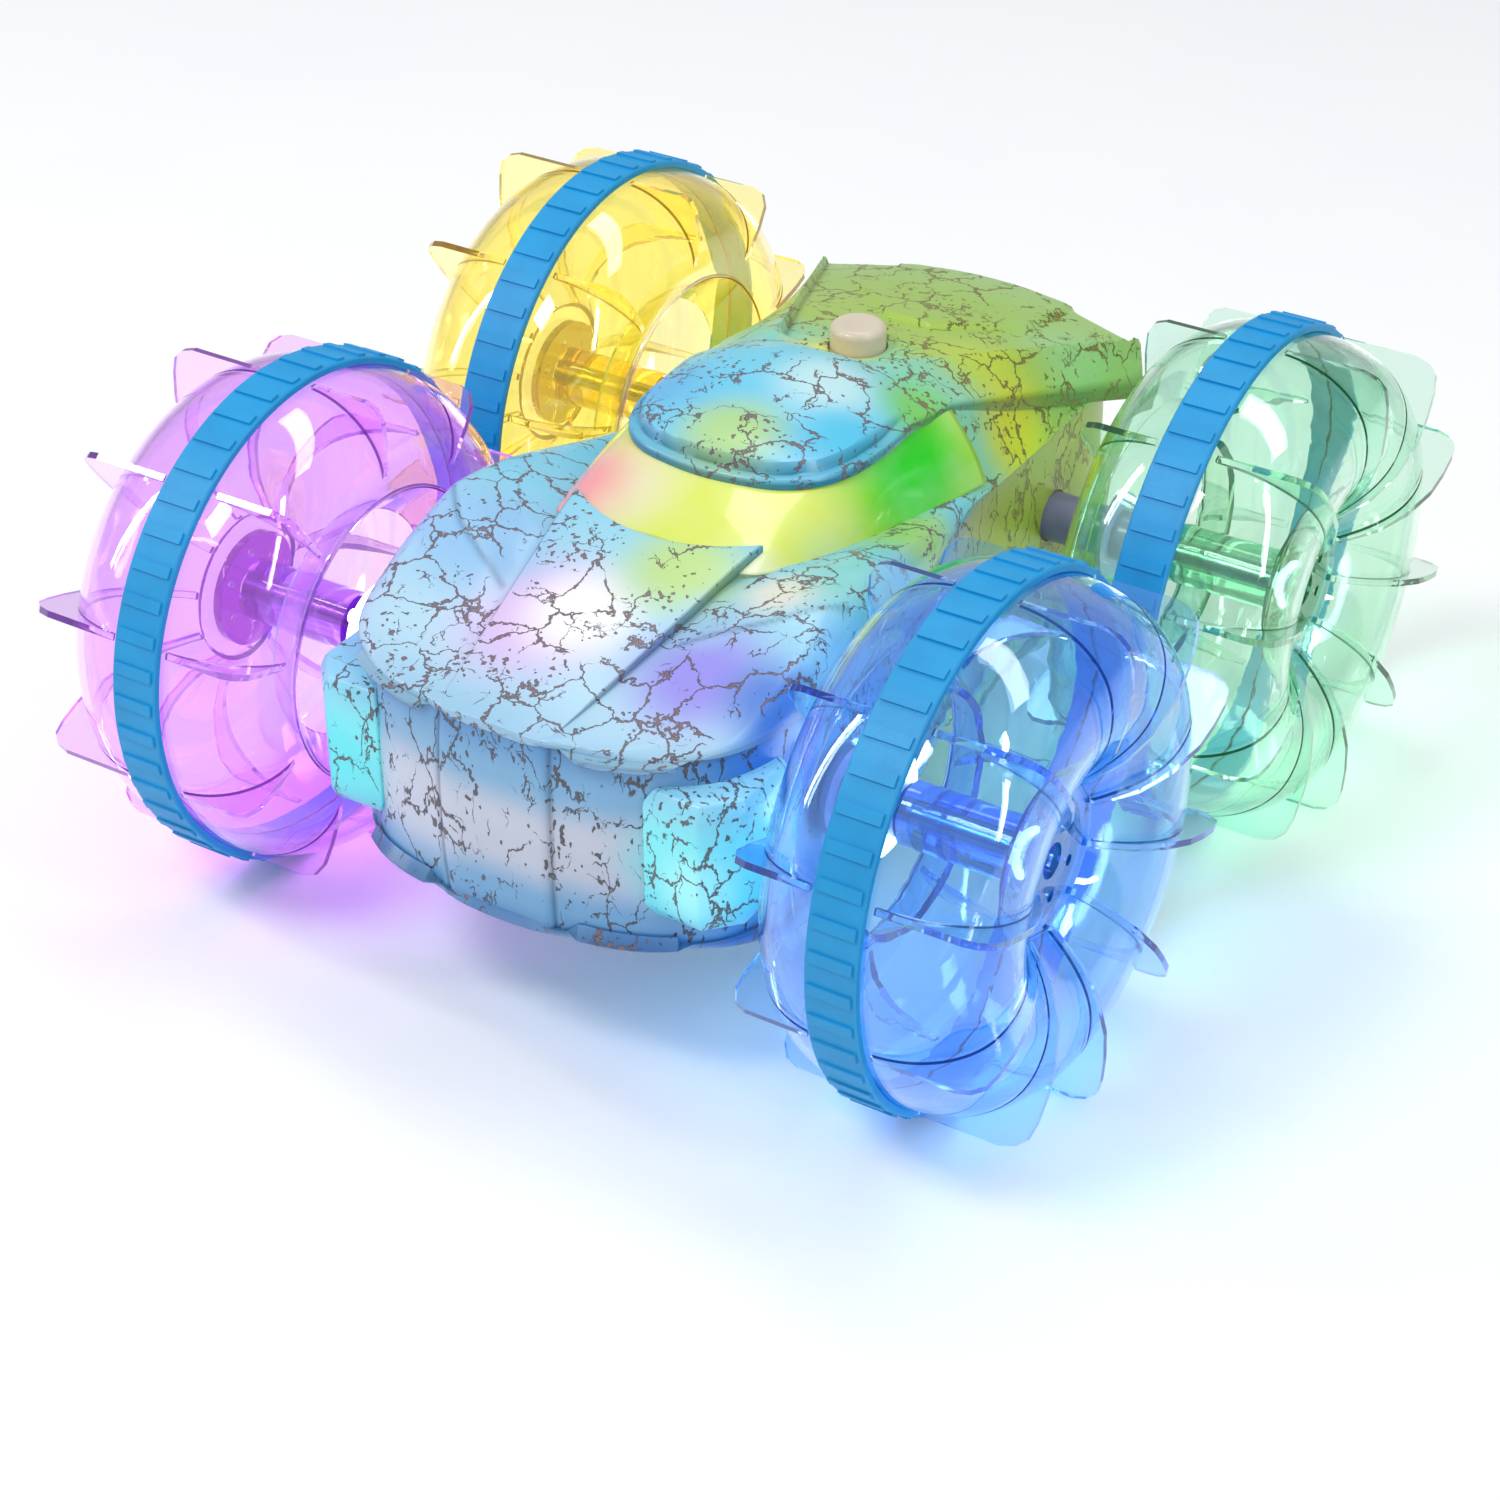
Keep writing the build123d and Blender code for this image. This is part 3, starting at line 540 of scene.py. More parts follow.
@dataclass
class BodyShell:
    """Crackle covers, glowing windows and belt of the two-faced body. Sizes in mm."""
    wall: float = 2.0
    nose_crease: float = 12.5                   # half width of the raised hood panel at the nose
    tip_crease: float = 21.8                    # and at its pointed rear tips
    tip_y: float = -41.0
    step: float = 0.9                           # height of the raised panel on the deck
    dish_y: float = 33.6
    dish_z: float = 97.4

    # heights along the car: middle of the hood, valley beside it and crown of the fender
    hood_line: tuple = ((-103, 77.4), (-98, 78.6), (-88, 81.0), (-75, 84.4), (-60, 88.2), (-48, 91.2),
                        (-40, 92.4), (-30, 92.6))
    valley_line: tuple = ((-103, 77.2), (-98, 77.8), (-88, 79.3), (-75, 81.8), (-62, 84.4), (-49, 87.2),
                          (-41, 87.2), (-32, 85.6), (-25, 84.4), (-10, 82.2), (0, 81.2), (20, 79.2),
                          (28, 78.6), (96, 78.6))
    fender_line: tuple = ((-103, 77.1), (-96, 77.6), (-88, 79.2), (-80, 81.8), (-70, 85.4), (-60, 88.4),
                          (-50, 90.0), (-40, 90.2), (-30, 88.8), (-20, 86.4), (-8, 83.6), (6, 81.2),
                          (20, 79.4), (28, 78.6), (96, 78.6))
    roof_line: tuple = ((-29, 99.0), (-20, 101.2), (-12, 103), (-4, 104.4), (4, 105.2), (10, 105.0),
                        (16, 103.9), (22, 101.6), (27, 99.3), (33, 97.6), (40, 96.7), (54, 94.2), (70, 91.6),
                        (88, 89.0), (97, 87.6))

    fold_line: tuple = ((20, -68), (30, -63), (37, -58.9), (46.5, -48))     # x, y of the fender's fold

    def rail(self, y: Array) -> tuple[Array, Array]:
        """Half width and height of the two rails that run back along the rear deck."""
        share = np.clip((y - 23) / 65, 0, 1)
        return 13.6 + 26.6 * share, 101.9 - 15.2 * share

    def crease(self, y: Array) -> Array:
        """Half width of the raised hood panel at each distance along the car."""
        return self.nose_crease + (self.tip_crease - self.nose_crease) * (y + 102) / (self.tip_y + 102)

    def fender_height(self, x: Array, y: Array, width: Array) -> Array:
        """Height of the hood's base and the fenders.

        Args:
            x: distance from the middle.
            y: distance along the car.
            width: half width of the car at y.

        Returns:
            Height above the ground.
        """
        inner = np.minimum(self.crease(y), 24.0)
        share = np.clip((np.abs(x) - inner) / np.maximum(width - inner, 4), 0, 1)
        valley, crown = height(self.valley_line, y), height(self.fender_line, y)
        rise = ease(0, 0.72, share)
        level = valley + (crown - valley) * rise - 1.6 * np.clip((share - 0.72) / 0.28, 0, 1) ** 2
        # soft crease where the fender's face turns up into its top
        crease_y = height(self.fold_line, np.abs(x))
        fold = 1 - np.clip(np.sqrt((y - crease_y) ** 2 + 0.3) / 13.0, 0, 1)
        return level + 1.5 * fold * ease(0.05, 0.3, share)

    def fenders(self) -> Piece:
        """Model the lower sheet of the cover, from the belt's edge up over both fenders."""
        rim = both_sides(BODY_HALF)
        ys = [(row[1], row[0]) for row in BODY_HALF[2:20]]
        rows, wall_share = 58, 0.06

        def place(u: Array, v: Array) -> Array:
            """Points from the rim inwards to the middle line."""
            edge = glide(rim, u * rim[-1, 0])
            spine = np.column_stack([np.zeros_like(u), np.clip(edge[:, 1], -84, 74)])
            inwards = np.clip((v - wall_share) / (1 - wall_share), 0, 1) ** 1.25
            at = edge + (spine - edge) * inwards[:, None]
            run = np.hypot(*(spine - edge).T) * inwards
            width = height(ys, at[:, 1])
            level = self.fender_height(at[:, 0], at[:, 1], width)
            radius = np.clip((level - BELT_TOP) * 0.75, 0.5, 4.5)
            short = np.clip(radius - run, 0, None)
            level = level - (radius - np.sqrt(radius ** 2 - short ** 2))
            low = BELT_TOP - 1.0
            climb = np.clip(v / wall_share, 0, 1)
            # painted shade: a dark line along the fender's fold, and the rim wall darker at the sheet's edge
            crease_y = height(self.fold_line, np.abs(at[:, 0]))
            fold = 0.6 * line_at(at[:, 1] - crease_y + 0.6, 0.9) * (np.abs(at[:, 0]) > 20.5)
            dark = np.maximum(fold * (run > 1.5), 0.4 * (v < wall_share * 0.8))
            return np.column_stack([at, low + (level - low) * np.where(v < wall_share, climb, 1.0), dark])

        sheet = drape("fender_sheet", 540, rows, place)
        return self.thicken(sheet)

    def hood_panel(self) -> Piece:
        """Model the raised middle of the hood, with its two pointed rear tips."""
        def place(u: Array, v: Array) -> Array:
            """Points from the nose back to the hollow rear edge."""
            side = 2 * u - 1
            rear = -48.2 + 8.0 * np.abs(side) ** 2.3
            front = -102.5 + 0.9 * np.abs(side) ** 6
            y = front + (rear - front) * v
            x = side * self.crease(y)
            z = height(self.hood_line, y) - 0.9 * side ** 2 + 0.3
            return np.column_stack([x, y, z])

        sheet = drape("hood_panel", 70, 100, place)
        modify(sheet, "SOLIDIFY", thickness=3.0 * MM, offset=-1.0)
        modify(sheet, "BEVEL", width=0.45 * MM, segments=2, limit_method="ANGLE", angle_limit=radians(50))
        # painted shade: the panel's side wall below its top, and a dark line along its side edges
        x, y, z = np.array([vertex.co for vertex in sheet.data.vertices]).T / MM
        side = np.abs(x) / self.crease(y)
        below = height(self.hood_line, y) - 0.9 * side ** 2 + 0.3 - z
        wall = np.clip((below - 0.2) / 0.3, 0, 1) * (side > 0.9)
        shade_points(sheet, np.maximum(wall, 0.5 * (side > 0.975)))
        return sheet

    def roof_height(self, x: Array, y: Array, edge: Array, inwards: Array, run: Array,
                    face: bool) -> Array:
        """Height of the roof and rear deck.

        Args:
            x: distance from the middle.
            y: distance along the car.
            edge: the point of the rim that each point lies inwards of.
            inwards: share of the way from the rim to the middle line.
            run: distance from the rim.
            face: whether this face has the button's dish.

        Returns:
            Height above the ground.
        """
        side = np.abs(x)
        middle = height(self.roof_line, y)
        # rounded roof
        top = height(((-29, 98.9), (-4, 98.4), (12, 97.4), (24, 95.8), (96, 95.8)), edge[:, 1])
        spine = height(self.roof_line, np.clip(edge[:, 1], -12, 70))
        dome = top + (spine - top) * (1 - (1 - inwards) ** 2.3)
        # lip: a narrow ledge and a step up, fading along the flanks
        ledge = 97.2 + 0.15 * run
        lip = ledge + (dome - ledge) * ease(2.3, 3.1, run)
        fade = ease(-2, 14, edge[:, 1])
        dome = lip + (dome - lip) * fade
        # rear deck: two rails run out and back, with the deck hollow between them
        rail_x, rail_z = self.rail(y)
        inside = rail_z - height(((23, 0.4), (29, 2.6), (50, 1.6), (97, 2.2)), y)
        deck = middle + (inside - middle) * np.clip(side / (rail_x - 0.9), 0, 1) ** 2
        width = height(((24, 27.7), (28, 28.6), (40, 31), (55, 34.2), (73, 38.4), (88, 41.8)), y)
        low = 95.4 - 19.4 * np.clip((y - 24) / 64, 0, 1)
        flank = rail_z + (low - rail_z) * np.clip((side - rail_x) / (width - rail_x), 0, 1) ** 1.25
        climb = ease(0, 1, (side - rail_x + 0.9) / 0.9)
        rear = np.where(side < rail_x, deck + (rail_z - deck) * climb, flank)
        level = dome + (rear - dome) * ease(8, 25, y)
        # raised panel on the deck, between its straight edges
        inset = np.full_like(x, 50.0)
        for (ax, ay), (bx, by) in (((-5.4, 54.1), (5.4, 54.1)), ((5.4, 54.1), (21.5, 70.4)),
                                   ((21.5, 70.4), (22, 91)), ((22, 91), (-22, 91))):
            nx, ny = by - ay, ax - bx
            length = np.hypot(nx, ny)
            inset = np.minimum(inset, -((side - ax) * nx + (y - ay) * ny) / length)
        level = level + self.step * ease(0, 1.1, inset)
        if face:
            away = np.hypot(x, y - self.dish_y)
            turn = np.arctan2(y - self.dish_y, x)
            level = self.dish_z + (level - self.dish_z) * ease(6.6, 17, away)
            level = level + 0.22 * np.cos(17 * turn) * ease(7, 9, away) * (1 - ease(11, 17, away))
        return level

    def roof(self, name: str, face: bool) -> Piece:
        """Model the roof and rear deck, with its stepped lip and rails."""
        rim = both_sides(ROOF_HALF)
        wall_share = 0.07

        def place(u: Array, v: Array) -> Array:
            """Points from the rim inwards to the middle line."""
            edge = glide(rim, u * rim[-1, 0])
            spine = np.column_stack([np.zeros_like(u), np.clip(edge[:, 1], -12, 70)])
            inwards = np.clip((v - wall_share) / (1 - wall_share), 0, 1)
            at = edge + (spine - edge) * inwards[:, None]
            run = np.hypot(*(spine - edge).T) * inwards
            level = self.roof_height(at[:, 0], at[:, 1], edge, inwards, run, face)
            short = np.clip(0.9 - run, 0, None)
            level = level - (0.9 - np.sqrt(0.81 - short ** 2))
            drop = height(((-29, 1.1), (20, 1.3), (30, 2.2), (88, 3.0), (96, 3.4)), edge[:, 1])
            sink = drop * np.clip(1 - v / wall_share, 0, 1)
            front, side = 1 - ease(-2, 14, edge[:, 1]), np.abs(at[:, 0])
            rail_x = self.rail(at[:, 1])[0]
            # painted shade: the rim wall, the lip's ledge and step at the front, and lines along the rails'
            # inner edges
            dark = np.maximum(0.85 * (v < wall_share * 1.05),
                              front * (0.3 * (run < 2.4) + 0.6 * line_at(run - 2.5, 0.4)))
            dark = np.maximum(dark, 0.6 * line_at(side - rail_x + 1.1, 0.7) * ease(24, 30, at[:, 1]))
            return np.column_stack([at, level - sink, dark])

        return drape(name, 520, 60, place)

    def thicken(self, sheet: Piece) -> Piece:
        """Give a cover sheet its wall, inwards."""
        modify(sheet, "SOLIDIFY", thickness=self.wall * MM, offset=-1.0)
        return sheet

    @staticmethod
    def split(sheet: Piece, grow: float, keep_inside: bool) -> None:
        """Part the battery hatch from the sheet round it.

        Args:
            sheet: the open cover sheet.
            grow: how far outside the hatch's edge to cut, in mm.
            keep_inside: keep the hatch, or else the sheet with its opening.
        """
        pick(sheet)
        half_x, half_y, middle_y = DOOR_X / 2 + grow, DOOR_Y / 2 + grow, DOOR_MIDDLE
        bpy.ops.object.mode_set(mode="EDIT")
        bpy.ops.mesh.select_mode(type="FACE")
        for at, way in (((half_x, 0), (1, 0)), ((-half_x, 0), (-1, 0)),
                        ((0, middle_y + half_y), (0, 1)), ((0, middle_y - half_y), (0, -1))):
            bpy.ops.mesh.select_all(action="SELECT")
            bpy.ops.mesh.bisect(plane_co=(at[0] * MM, at[1] * MM, 0), plane_no=(*way, 0), use_fill=False,
                                clear_inner=False, clear_outer=keep_inside)
        bpy.ops.mesh.select_all(action="DESELECT")
        bpy.ops.object.mode_set(mode="OBJECT")
        if keep_inside:
            return
        for face in sheet.data.polygons:
            x, y = face.center.x / MM, face.center.y / MM - middle_y
            face.select = abs(x) < half_x and abs(y) < half_y
        bpy.ops.object.mode_set(mode="EDIT")
        bpy.ops.mesh.delete(type="FACE")
        bpy.ops.object.mode_set(mode="OBJECT")

    def windows(self) -> Piece:
        """Model the band of window plastic that wraps round under the roof."""
        foot = both_sides(((0, -45.6, 89.4), (9, -46.4, 89.2), (16, -47.4, 88.8), (20.5, -47.2, 88.4),
                           (23.8, -44.6, 87.8), (26.6, -38.6, 86.8), (30.3, -25.6, 84.4), (33.6, 0, 81.0),
                           (36.2, 25.4, 78.6)))
        head = both_sides(((0, -27.4, 95.7), (9, -26.6, 95.7), (14.6, -24.6, 95.7), (19, -21.6, 95.7),
                           (22, -18, 95.6), (24.4, -13, 95.5), (26.2, -5, 95.3), (26.6, 8, 95.2),
                           (26.9, 24, 95.2)))
        foot_share, head_share = foot[:, 0] / foot[-1, 0], head[:, 0] / head[-1, 0]
        foot, head = (np.column_stack([s, t[:, 1:]]) for s, t in ((foot_share, foot), (head_share, head)))

        def place(u: Array, v: Array) -> Array:
            """Points from the foot of the glass up to the roof."""
            low, high = glide(foot, u), glide(head, u)
            at = low + (high - low) * v[:, None]
            out = np.column_stack([at[:, 0] / 34, np.minimum(at[:, 1] + 8, 0) / 34])
            out /= np.maximum(np.hypot(*out.T), 0.2)[:, None]
            at[:, :2] += 1.1 * np.sin(pi * v)[:, None] * out
            # painted shade: a dark outline along the window's lower edge and its two ends
            rim = np.maximum(v < 0.03, np.abs(2 * u - 1) > 0.985)
            return np.column_stack([at, 0.55 * rim])

        sheet = drape("windows", 240, 24, place)
        modify(sheet, "SOLIDIFY", thickness=1.6 * MM, offset=-1.0)
        return sheet

    def quarters(self) -> Piece:
        """Model the recessed rear quarters and tail wall under the rails."""
        path = both_sides(((0, 88.3, 83.5, 90.5, 0), (26, 88.2, 82.5, 89.4, 24), (31, 86.9, 80.6, 87, 30),
                           (35.2, 82, 77.6, 82, 34.5), (36.2, 74, 80.3, 74, 33.6), (36.4, 60, 84.6, 60, 32),
                           (36.6, 45, 89.2, 45, 30), (36.6, 32, 93.4, 32, 28), (36.4, 23.2, 95.6, 22.6, 27)))

        def place(u: Array, v: Array) -> Array:
            """Points from the belt up to the underside of the rail."""
            row = glide(path, u * path[-1, 0])
            side = np.sign(row[:, 0])
            low = np.column_stack([row[:, 0], row[:, 1], np.full_like(u, BELT_TOP - 1)])
            high = np.column_stack([side * np.abs(row[:, 4]), row[:, 3], row[:, 2]])
            return high + (low - high) * v[:, None]

        sheet = drape("rear_quarters", 300, 20, place)
        return self.thicken(sheet)

    def belt(self) -> Piece:
        """Model the upright belt with the three faces of its fascia."""
        rim = both_sides(BODY_HALF)

        def place(u: Array, v: Array) -> Array:
            """Points from the lower edge to the upper one."""
            run = u * rim[-1, 0]
            at, ahead = glide(rim, run), glide(rim, np.minimum(run + 0.5, rim[-1, 0]))
            back = glide(rim, np.maximum(run - 0.5, 0))
            way = ahead - back
            out = np.column_stack([way[:, 1], -way[:, 0]]) / np.hypot(*way.T)[:, None]
            z = AXLE_Z + (2 * v - 1) * (BELT_TOP - AXLE_Z - 0.2)
            tall = np.abs(2 * v - 1)
            nose = 1 - ease(-96, -80, at[:, 1])
            middle = 1 - ease(11.8, 13.2, np.abs(at[:, 0]))
            groove = np.exp(-((np.abs(at[:, 0]) - 12.6) / 0.7) ** 2) * nose
            bulge = (1 - tall ** 2.4) * (0.5 + 0.8 * nose) - 0.7 + 0.35 * middle * nose - 0.5 * groove
            # painted shade: dark lines in the fascia's grooves, and the belt darker towards its top and
            # bottom edges
            dark = np.maximum(0.75 * line_at(np.abs(at[:, 0]) - 12.7, 0.6) * nose, 0.5 * ease(0.9, 1.0, tall))
            return np.column_stack([at + out * bulge[:, None], z, dark])

        sheet = drape("belt", 560, 40, place)
        self.thicken(sheet)
        for y in (-AXLE_Y, AXLE_Y):
            hole = begin("cylinder", "sleeve_hole", radius=SLEEVE_HOLE_R * MM, depth=0.12, vertices=48,
                         location=(0, y * MM, AXLE_Z * MM), rotation=(0, pi / 2, 0))
            cut(sheet, hole)
        return sheet

    def pod(self) -> Piece:
        """Model the left front lamp pod: a five-sided block, bevelled above and below."""
        plan = ((30.5, -97.6), (42.9, -97.8), (49.3, -90.6), (49.3, -76), (46.5, -72), (40, -76), (33, -88))
        levels, drawn_in = (42.0, 44.6, 67.9, 70.5), 0.87
        block = begin("circle", "left_lamp_pod", vertices=len(plan), radius=0.01, fill_type="NGON")
        for vertex, (x, y) in zip(block.data.vertices, plan):
            vertex.co = (x * MM, y * MM, levels[0] * MM)
        bpy.ops.object.mode_set(mode="EDIT")
        bpy.ops.mesh.select_all(action="SELECT")
        for low, high in zip(levels, levels[1:]):
            bpy.ops.mesh.extrude_region_move(TRANSFORM_OT_translate={"value": (0, 0, (high - low) * MM)})
        bpy.ops.object.mode_set(mode="OBJECT")
        middle = Vector((41.5 * MM, -86.0 * MM))
        for vertex in block.data.vertices:
            if not levels[1] - 1 < vertex.co.z / MM < levels[2] + 1:
                vertex.co.xy = middle + (vertex.co.xy - middle) * drawn_in
        clean(block)
        modify(block, "BEVEL", width=0.6 * MM, segments=3, limit_method="ANGLE", angle_limit=radians(20))
        return block


def crackle_upper() -> CrackleShell:
    """Finish of the covers: blue and cyan in front, yellow-green behind, with pools of painted light and
    painted shade.
    """
    return CrackleShell(
        "crackle_lacquered_abs", Axis.ALONG,
        ((-104, "#9CCBE9"), (-84, "#B9E0F4"), (-60, "#A6DDF0"), (-36, "#86D3EE"), (-14, "#6ECDF2"),
         (8, "#74D4F0"), (26, "#8ED6B4"), (46, "#A9CC4C"), (70, "#A2C856"), (98, "#A3CC80")),
        (PaintedPool((-8, -76, 86), 26, "#E9BDF6", 0.85), PaintedPool((0, -72, 88), 20, "#FFFFFF", 0.95),
         PaintedPool((12, -54, 92), 20, "#BFDF72", 0.9), PaintedPool((-30, -60, 88), 24, "#8DBDF2", 0.7),
         # (45, -74, 80) is painted shade under the fender's lip, above the left pod
         PaintedPool((29, -76, 84), 22, "#9C8CF2", 0.9), PaintedPool((45, -74, 80), 16, "#3F7BD6", 0.9),
         PaintedPool((32, -50, 90), 13, "#FFF2DC", 0.8), PaintedPool((24, -62, 86), 12, "#A9D4F4", 0.6),
         PaintedPool((44, -40, 88), 20, "#8FE0CC", 0.7), PaintedPool((38, -8, 84), 24, "#A6D86A", 0.9),
         PaintedPool((2, -20, 102), 18, "#BFE06A", 0.8), PaintedPool((-22, -8, 99), 16, "#5FB4EC", 0.7),
         PaintedPool((10, 4, 105), 18, "#D4F4F2", 0.75), PaintedPool((20, -8, 100), 12, "#3FC8EE", 0.7),
         PaintedPool((26, 14, 97), 16, "#7BD644", 0.9), PaintedPool((-2, 26, 101), 14, "#F2E63A", 0.9),
         PaintedPool((22, 44, 95), 18, "#C2D93C", 0.8), PaintedPool((32, 70, 88), 20, "#9BD89A", 0.6),
         PaintedPool((34, 42, 82), 18, "#E4DF26", 0.9), PaintedPool((36, 64, 60), 26, "#A39A1E", 0.7),
         # painted shade: steel-blue pools on the lower covers along the nose, where the lip faces down
         PaintedPool((0, -104, 31), 28, "#3F78B6", 0.9), PaintedPool((28, -100, 31), 26, "#3F78B6", 0.9),
         PaintedPool((-28, -100, 31), 26, "#3F78B6", 0.9), PaintedPool((46, -82, 31), 24, "#3470BC", 0.9)))


def crackle_belt() -> CrackleShell:
    """Finish of the belt: steel blue at its edges, warm grey light in its middle; the darker blue at its top
    edge is painted shade under the cover's lip.
    """
    return CrackleShell(
        "crackle_lacquered_abs_belt", Axis.UP,
        ((31, "#3F86C6"), (40, "#6FA9D6"), (50, "#C4CBDD"), (57, "#C8CFDF"), (67, "#7DB2DA"),
         (78, "#4C8CCB")),
        (PaintedPool((-40, -92, 56), 22, "#57DDE8", 0.95), PaintedPool((36, -96, 54), 16, "#7CE4F0", 0.8),
         # (47, -78, 66) is painted shade under the fender's lip, above the left pod
         PaintedPool((-20, -101, 52), 20, "#CFD6EA", 0.7), PaintedPool((47, -78, 66), 20, "#2F6FD0", 0.9),
         PaintedPool((38, 30, 60), 40, "#B9B51E", 0.95), PaintedPool((38, 70, 60), 46, "#A7B32A", 0.95),
         PaintedPool((-38, 50, 58), 80, "#A9BE3A"), PaintedPool((38, 66, 50), 70, "#A39F22"),
         PaintedPool((0, 96, 55), 100, "#A2B43A")),
        crack_front="#4E4A50", stretch=(1.0, 1.0, 0.6), cell=9.0, glow=0.12)


def crackle_pod() -> CrackleShell:
    """Finish of the lamp pods: bright cyan over the lamp inside."""
    return CrackleShell(
        "crackle_lacquered_lamp_pod", Axis.UP,
        ((40, "#62BEDD"), (50, "#6FE6F0"), (60, "#7BEBF2"), (73, "#8CCBE8")),
        (PaintedPool((42, -97, 52), 12, "#A8FBFA", 0.9), PaintedPool((-42, -97, 54), 13, "#5CE8F0", 0.9)),
        crack_front="#56555C", stretch=(1.0, 1.0, 0.7), cell=9.0, glow=0.3)


def window_glass() -> MilkyGlass:
    """Finish of the windows: pink, yellow-green, pale and green round the cabin."""
    return MilkyGlass("glowing_window_plastic", "#DAE76C", (
        PaintedPool((-16, -38, 92), 22, "#E4DDC0", 0.8), PaintedPool((-28, -38, 90), 24, "#F49CA6"),
        PaintedPool((24, -48, 87), 14, "#E2EFC8", 0.8), PaintedPool((31, -30, 84), 13, "#C3EBA0", 0.6),
        PaintedPool((30, 4, 91), 34, "#2FD81E"), PaintedPool((36, 20, 80), 12, "#8FDC5C", 0.5),
        PaintedPool((-34, 0, 88), 34, "#8FE08A", 0.9)))


def build_body() -> None:
    """Model and dress the two faces of the body."""
    shell = BodyShell()
    upper, belt_skin, pod_skin = (f().material() for f in (crackle_upper, crackle_belt, crackle_pod))
    glass = window_glass().material()
    fenders, panel = shell.fenders(), shell.hood_panel()
    roof_up, roof_down = shell.thicken(shell.roof("roof_deck", True)), shell.roof("roof_deck_plain", False)
    hatch = twin(roof_down, "hatch_plain", (1, 1, 1))
    shell.split(roof_down, DOOR_GAP, keep_inside=False)
    shell.split(hatch, 0.0, keep_inside=True)
    shell.thicken(roof_down)
    shell.thicken(hatch)
    windows, quarters = shell.windows(), shell.quarters()
    button_hole = begin("cylinder", "button_hole", radius=BUTTON_HOLE_R * MM, depth=0.02, vertices=72,
                        location=(0, shell.dish_y * MM, 97 * MM))
    cut(roof_up, button_hole)
    for piece in (fenders, panel, roof_up, roof_down, hatch, quarters):
        dress(piece, upper)
        smooth(piece, CRISP_ANGLE)
    dress(windows, glass)
    smooth(windows, CRISP_ANGLE)
    parts = [(fenders, "fenders"), (panel, "hood_panel"), (quarters, "rear_quarters")]
    for piece, name in parts:
        under = twin(piece, "under_" + name, (1, 1, -1))
        ride(piece, "chassis", "crackle_shell", "upper_cover")
        ride(under, "chassis", "crackle_shell", "lower_cover")
    under_windows = twin(windows, "under_windows", (1, 1, -1))
    ride(windows, "chassis", "window_shell", "upper_window")
    ride(under_windows, "chassis", "window_shell", "lower_window")
    ride(roof_up, "chassis", "crackle_shell", "upper_cover")
    under_roof = twin(roof_down, "under_roof_deck", (1, 1, -1))
    door = twin(hatch, "battery_hatch", (1, 1, -1))
    for plain in (roof_down, hatch):
        bpy.data.objects.remove(plain)
    ride(under_roof, "chassis", "crackle_shell", "lower_cover")
    ride(door, "chassis", "crackle_shell", "battery_door")
    belt = shell.belt()
    dress(belt, belt_skin)
    smooth(belt, CRISP_ANGLE)
    ride(belt, "chassis", "crackle_shell", "belt_frame")
    pod = shell.pod()
    dress(pod, pod_skin)
    smooth(pod, 30)
    other = twin(pod, "right_lamp_pod", (-1, 1, 1))
    ride(pod, "chassis", "crackle_shell", "left_headlight")
    ride(other, "chassis", "crackle_shell", "right_headlight")


# ------------------------------------------------------------------ wheels and running gear
class Tint(Enum):
    """Colour of each wheel's clear polycarbonate, moulded and glossy: thin walls look pale, edges deep."""
    front_left = ClearPlastic("clear_blue_polycarbonate", "#DFF7FF", "#3BA0FF", 125, "#2E9BFF", 0.04)
    front_right = ClearPlastic("clear_violet_polycarbonate", "#FBE6FF", "#C85AF6", 95, "#D868FF", 0.06)
    rear_left = ClearPlastic("clear_green_polycarbonate", "#EEFFF7", "#50CC88", 65, "#50E090", 0.02)
    rear_right = ClearPlastic("clear_amber_polycarbonate", "#FFFCC4", "#FFE400", 110, "#FFE000", 0.05)


# Rubber is matt and even, ground steel and brass gleam softly, nylon is creamy and a little dull.
SOLIDS = {
    # the tread rubber's faint emission is painted glow; the band is no lamp
    "tread_band": Solid("blue_tread_rubber", "#0C98D4", "#0A84BE", 0.6, 0.5, glow=0.06),
    "axle": Solid("turned_steel", "#B9BEC4", "#A2A8AF", 0.5, 0.25, 1.0),
    "axle_gear": Solid("white_nylon", "#E9E6DC", "#DAD6CA", 0.5, 0.4),
    "compound_gear": Solid("natural_nylon", "#E4DFD0", "#D6D0BF", 0.5, 0.4),
    "motor_pinion": Solid("brass", "#C9A24A", "#B48E3B", 0.5, 0.3, 1.0),
    "motor": Solid("zinc_plated_can", "#B4B7BA", "#9EA1A6", 0.8, 0.35, 1.0),
}
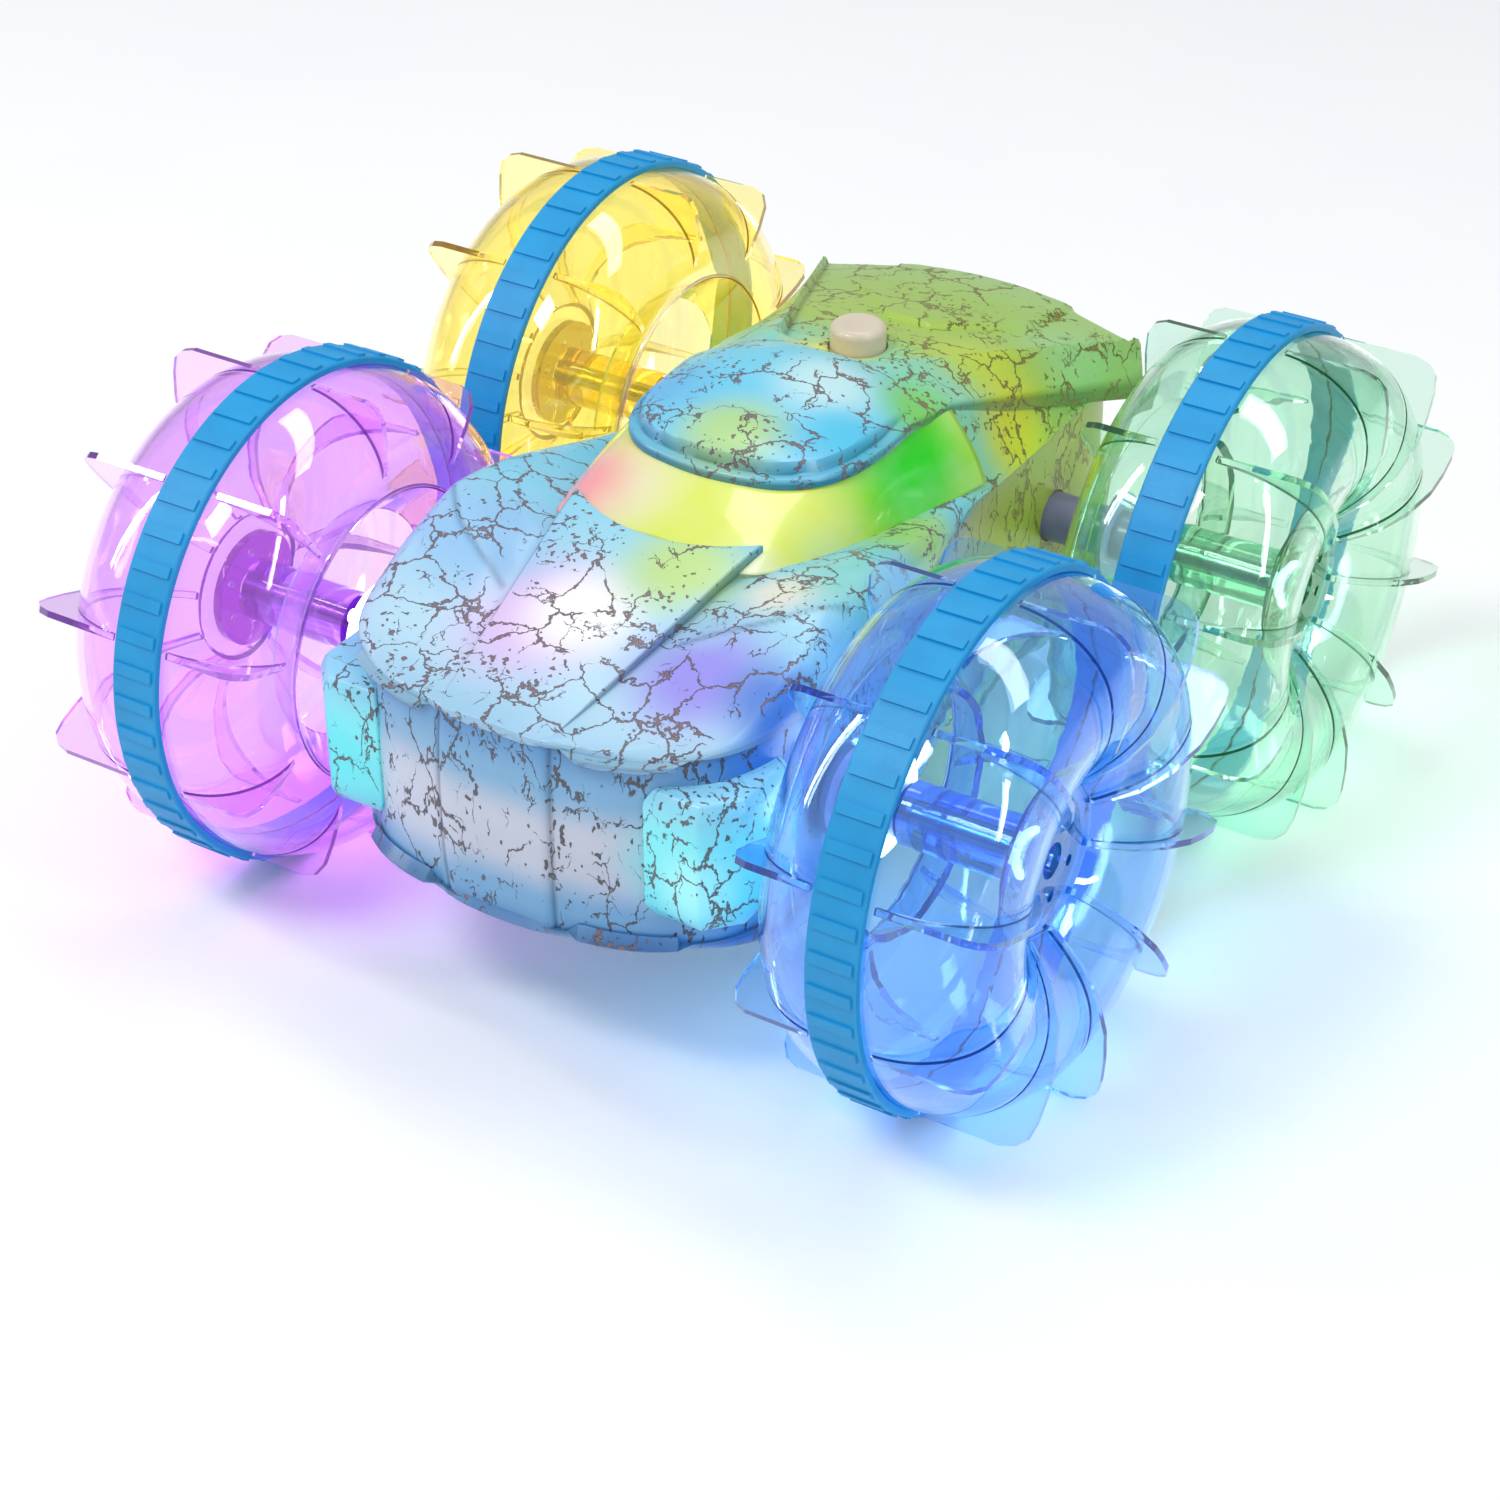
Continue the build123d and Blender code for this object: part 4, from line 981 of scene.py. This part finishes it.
# Inner parts: satin moulded ABS, plated or sintered metal, lacquered boards, and lamps that shine.
PLAIN = {
    "case_tray": Solid("black_abs_tray", "#24262A", "#1B1D20", 0.7),
    "case_lid": Solid("black_abs_lid", "#282A2E", "#1F2124", 0.7),
    "case_gasket": Solid("silicone_gasket", "#B24A2C", "#9C3F26", 0.5, 0.6),
    "case_screws": Solid("zinc_plated_screw", "#BFC3C7", "#A6AAAF", 0.4, 0.3, 1.0),
    "axle_housings": Solid("smoked_violet_abs_sleeve", "#8A80A6", "#756B96", 0.7, 0.3, coat=0.3),
    "axle_bushes": Solid("sintered_bronze", "#A87B45", "#8F6738", 0.3, 0.4, 1.0),
    "axle_seals": Solid("nitrile_rubber", "#1E1E20", "#151517", 0.5, 0.7),
    "wheel_lights": Solid("lamp_ring_board", "#E8F7FF", "#CFEFFF", 0.8, 0.3, glow=5.0),
    "gear_pins": Solid("hardened_steel_pin", "#C3C6CA", "#AEB2B7", 0.4, 0.25, 1.0),
    "button_collar": Solid("white_abs_collar", "#E6E4DE", "#D8D5CD", 0.6),
    "button_spring": Solid("spring_steel", "#B5B9BE", "#9FA3A8", 0.4, 0.3, 1.0),
    "upper_led_board": Solid("white_solder_mask_upper", "#E9F1EA", "#D8E4DA", 0.8, 0.4, glow=0.3),
    "lower_led_board": Solid("white_solder_mask_lower", "#E9F1EA", "#D8E4DA", 0.8, 0.4, glow=0.3),
    "control_board": Solid("green_solder_mask", "#1E6B3C", "#175A31", 0.7, 0.35),
    "battery_pack": Solid("blue_shrink_wrap", "#2456B8", "#1C4798", 0.9, 0.3, coat=0.4),
    "power_button": Solid("warm_grey_button_plastic", "#CFC4B0", "#BDB19C", 0.6, 0.35, glow=0.08, coat=0.2),
}


def build_wheels() -> None:
    """Dress the wheels and drive trains."""
    shared = {part: finish.material() for part, finish in SOLIDS.items()}
    for tint in Tint:
        clear = tint.value.material()
        for part in ("outer_shell", "inner_shell", "hub_core"):
            dress(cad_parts[f"{tint.name}_{part}"], clear)
        for part, material in shared.items():
            dress(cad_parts[f"{tint.name}_{part}"], material)
        log.info("%s wheel dressed", tint.name)


def dress_inside() -> None:
    """Dress the CAD nodes that keep their shape."""
    for node, finish in PLAIN.items():
        dress(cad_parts[node], finish.material())


# ------------------------------------------------------------------ studio
@dataclass(frozen=True)
class Studio:
    """Pale floor, soft boxes and the camera."""
    eye: tuple[float, float, float] = (0.310924, -0.513830, 0.413836)
    pitch: float = 90 - 33.692
    heading: float = 31.673
    lens: float = 79.31

    def build(self) -> None:
        """Set the floor, lights, sky and camera."""
        floor = begin("plane", "studio_floor", size=8)
        dress(floor, Solid("matt_white_floor", "#F6F7F8", "#F1F3F5", 6.0, 0.85).material())
        camera = bpy.data.objects.new("camera", bpy.data.cameras.new("camera"))
        bpy.context.scene.collection.objects.link(camera)
        camera.location = self.eye
        camera.rotation_euler = (radians(self.pitch), 0, radians(self.heading))
        camera.data.lens, camera.data.sensor_width = self.lens, 36.0
        camera.data.clip_end = 50
        bpy.context.scene.camera = camera
        for name, at, size, power in (
                ("key", (-0.35, -0.65, 1.1), (0.3, 0.3), 5.0),
                ("side", (1.05, -0.25, 0.75), (0.07, 1.1), 4.5),
                ("left", (-1.0, -0.5, 0.7), (0.07, 1.0), 3.5),
                ("top", (0.1, 0.35, 1.3), (1.4, 0.25), 5.0)):
            lamp = bpy.data.lights.new(name, "AREA")
            lamp.shape, lamp.size, lamp.size_y, lamp.energy = "RECTANGLE", *size, power
            holder = bpy.data.objects.new(name, lamp)
            bpy.context.scene.collection.objects.link(holder)
            holder.location = at
            holder.rotation_euler = (Vector((0, 0, 0.05)) - Vector(at)).to_track_quat("-Z", "Y").to_euler()
        sky = bpy.data.worlds.new("studio")
        bpy.context.scene.world = sky
        sky.use_nodes = True
        sky.node_tree.nodes["Background"].inputs[0].default_value = linear("#FBFCFF")
        sky.node_tree.nodes["Background"].inputs[1].default_value = 0.5
        bpy.context.scene.view_settings.view_transform = "Standard"


def main() -> None:
    """Build the car's looks in order."""
    logging.basicConfig(level=logging.INFO, format="%(name)s: %(message)s")
    Studio().build()
    build_wheels()
    dress_inside()
    build_body()
    clear_selection()


if __name__ == "__main__":
    main()
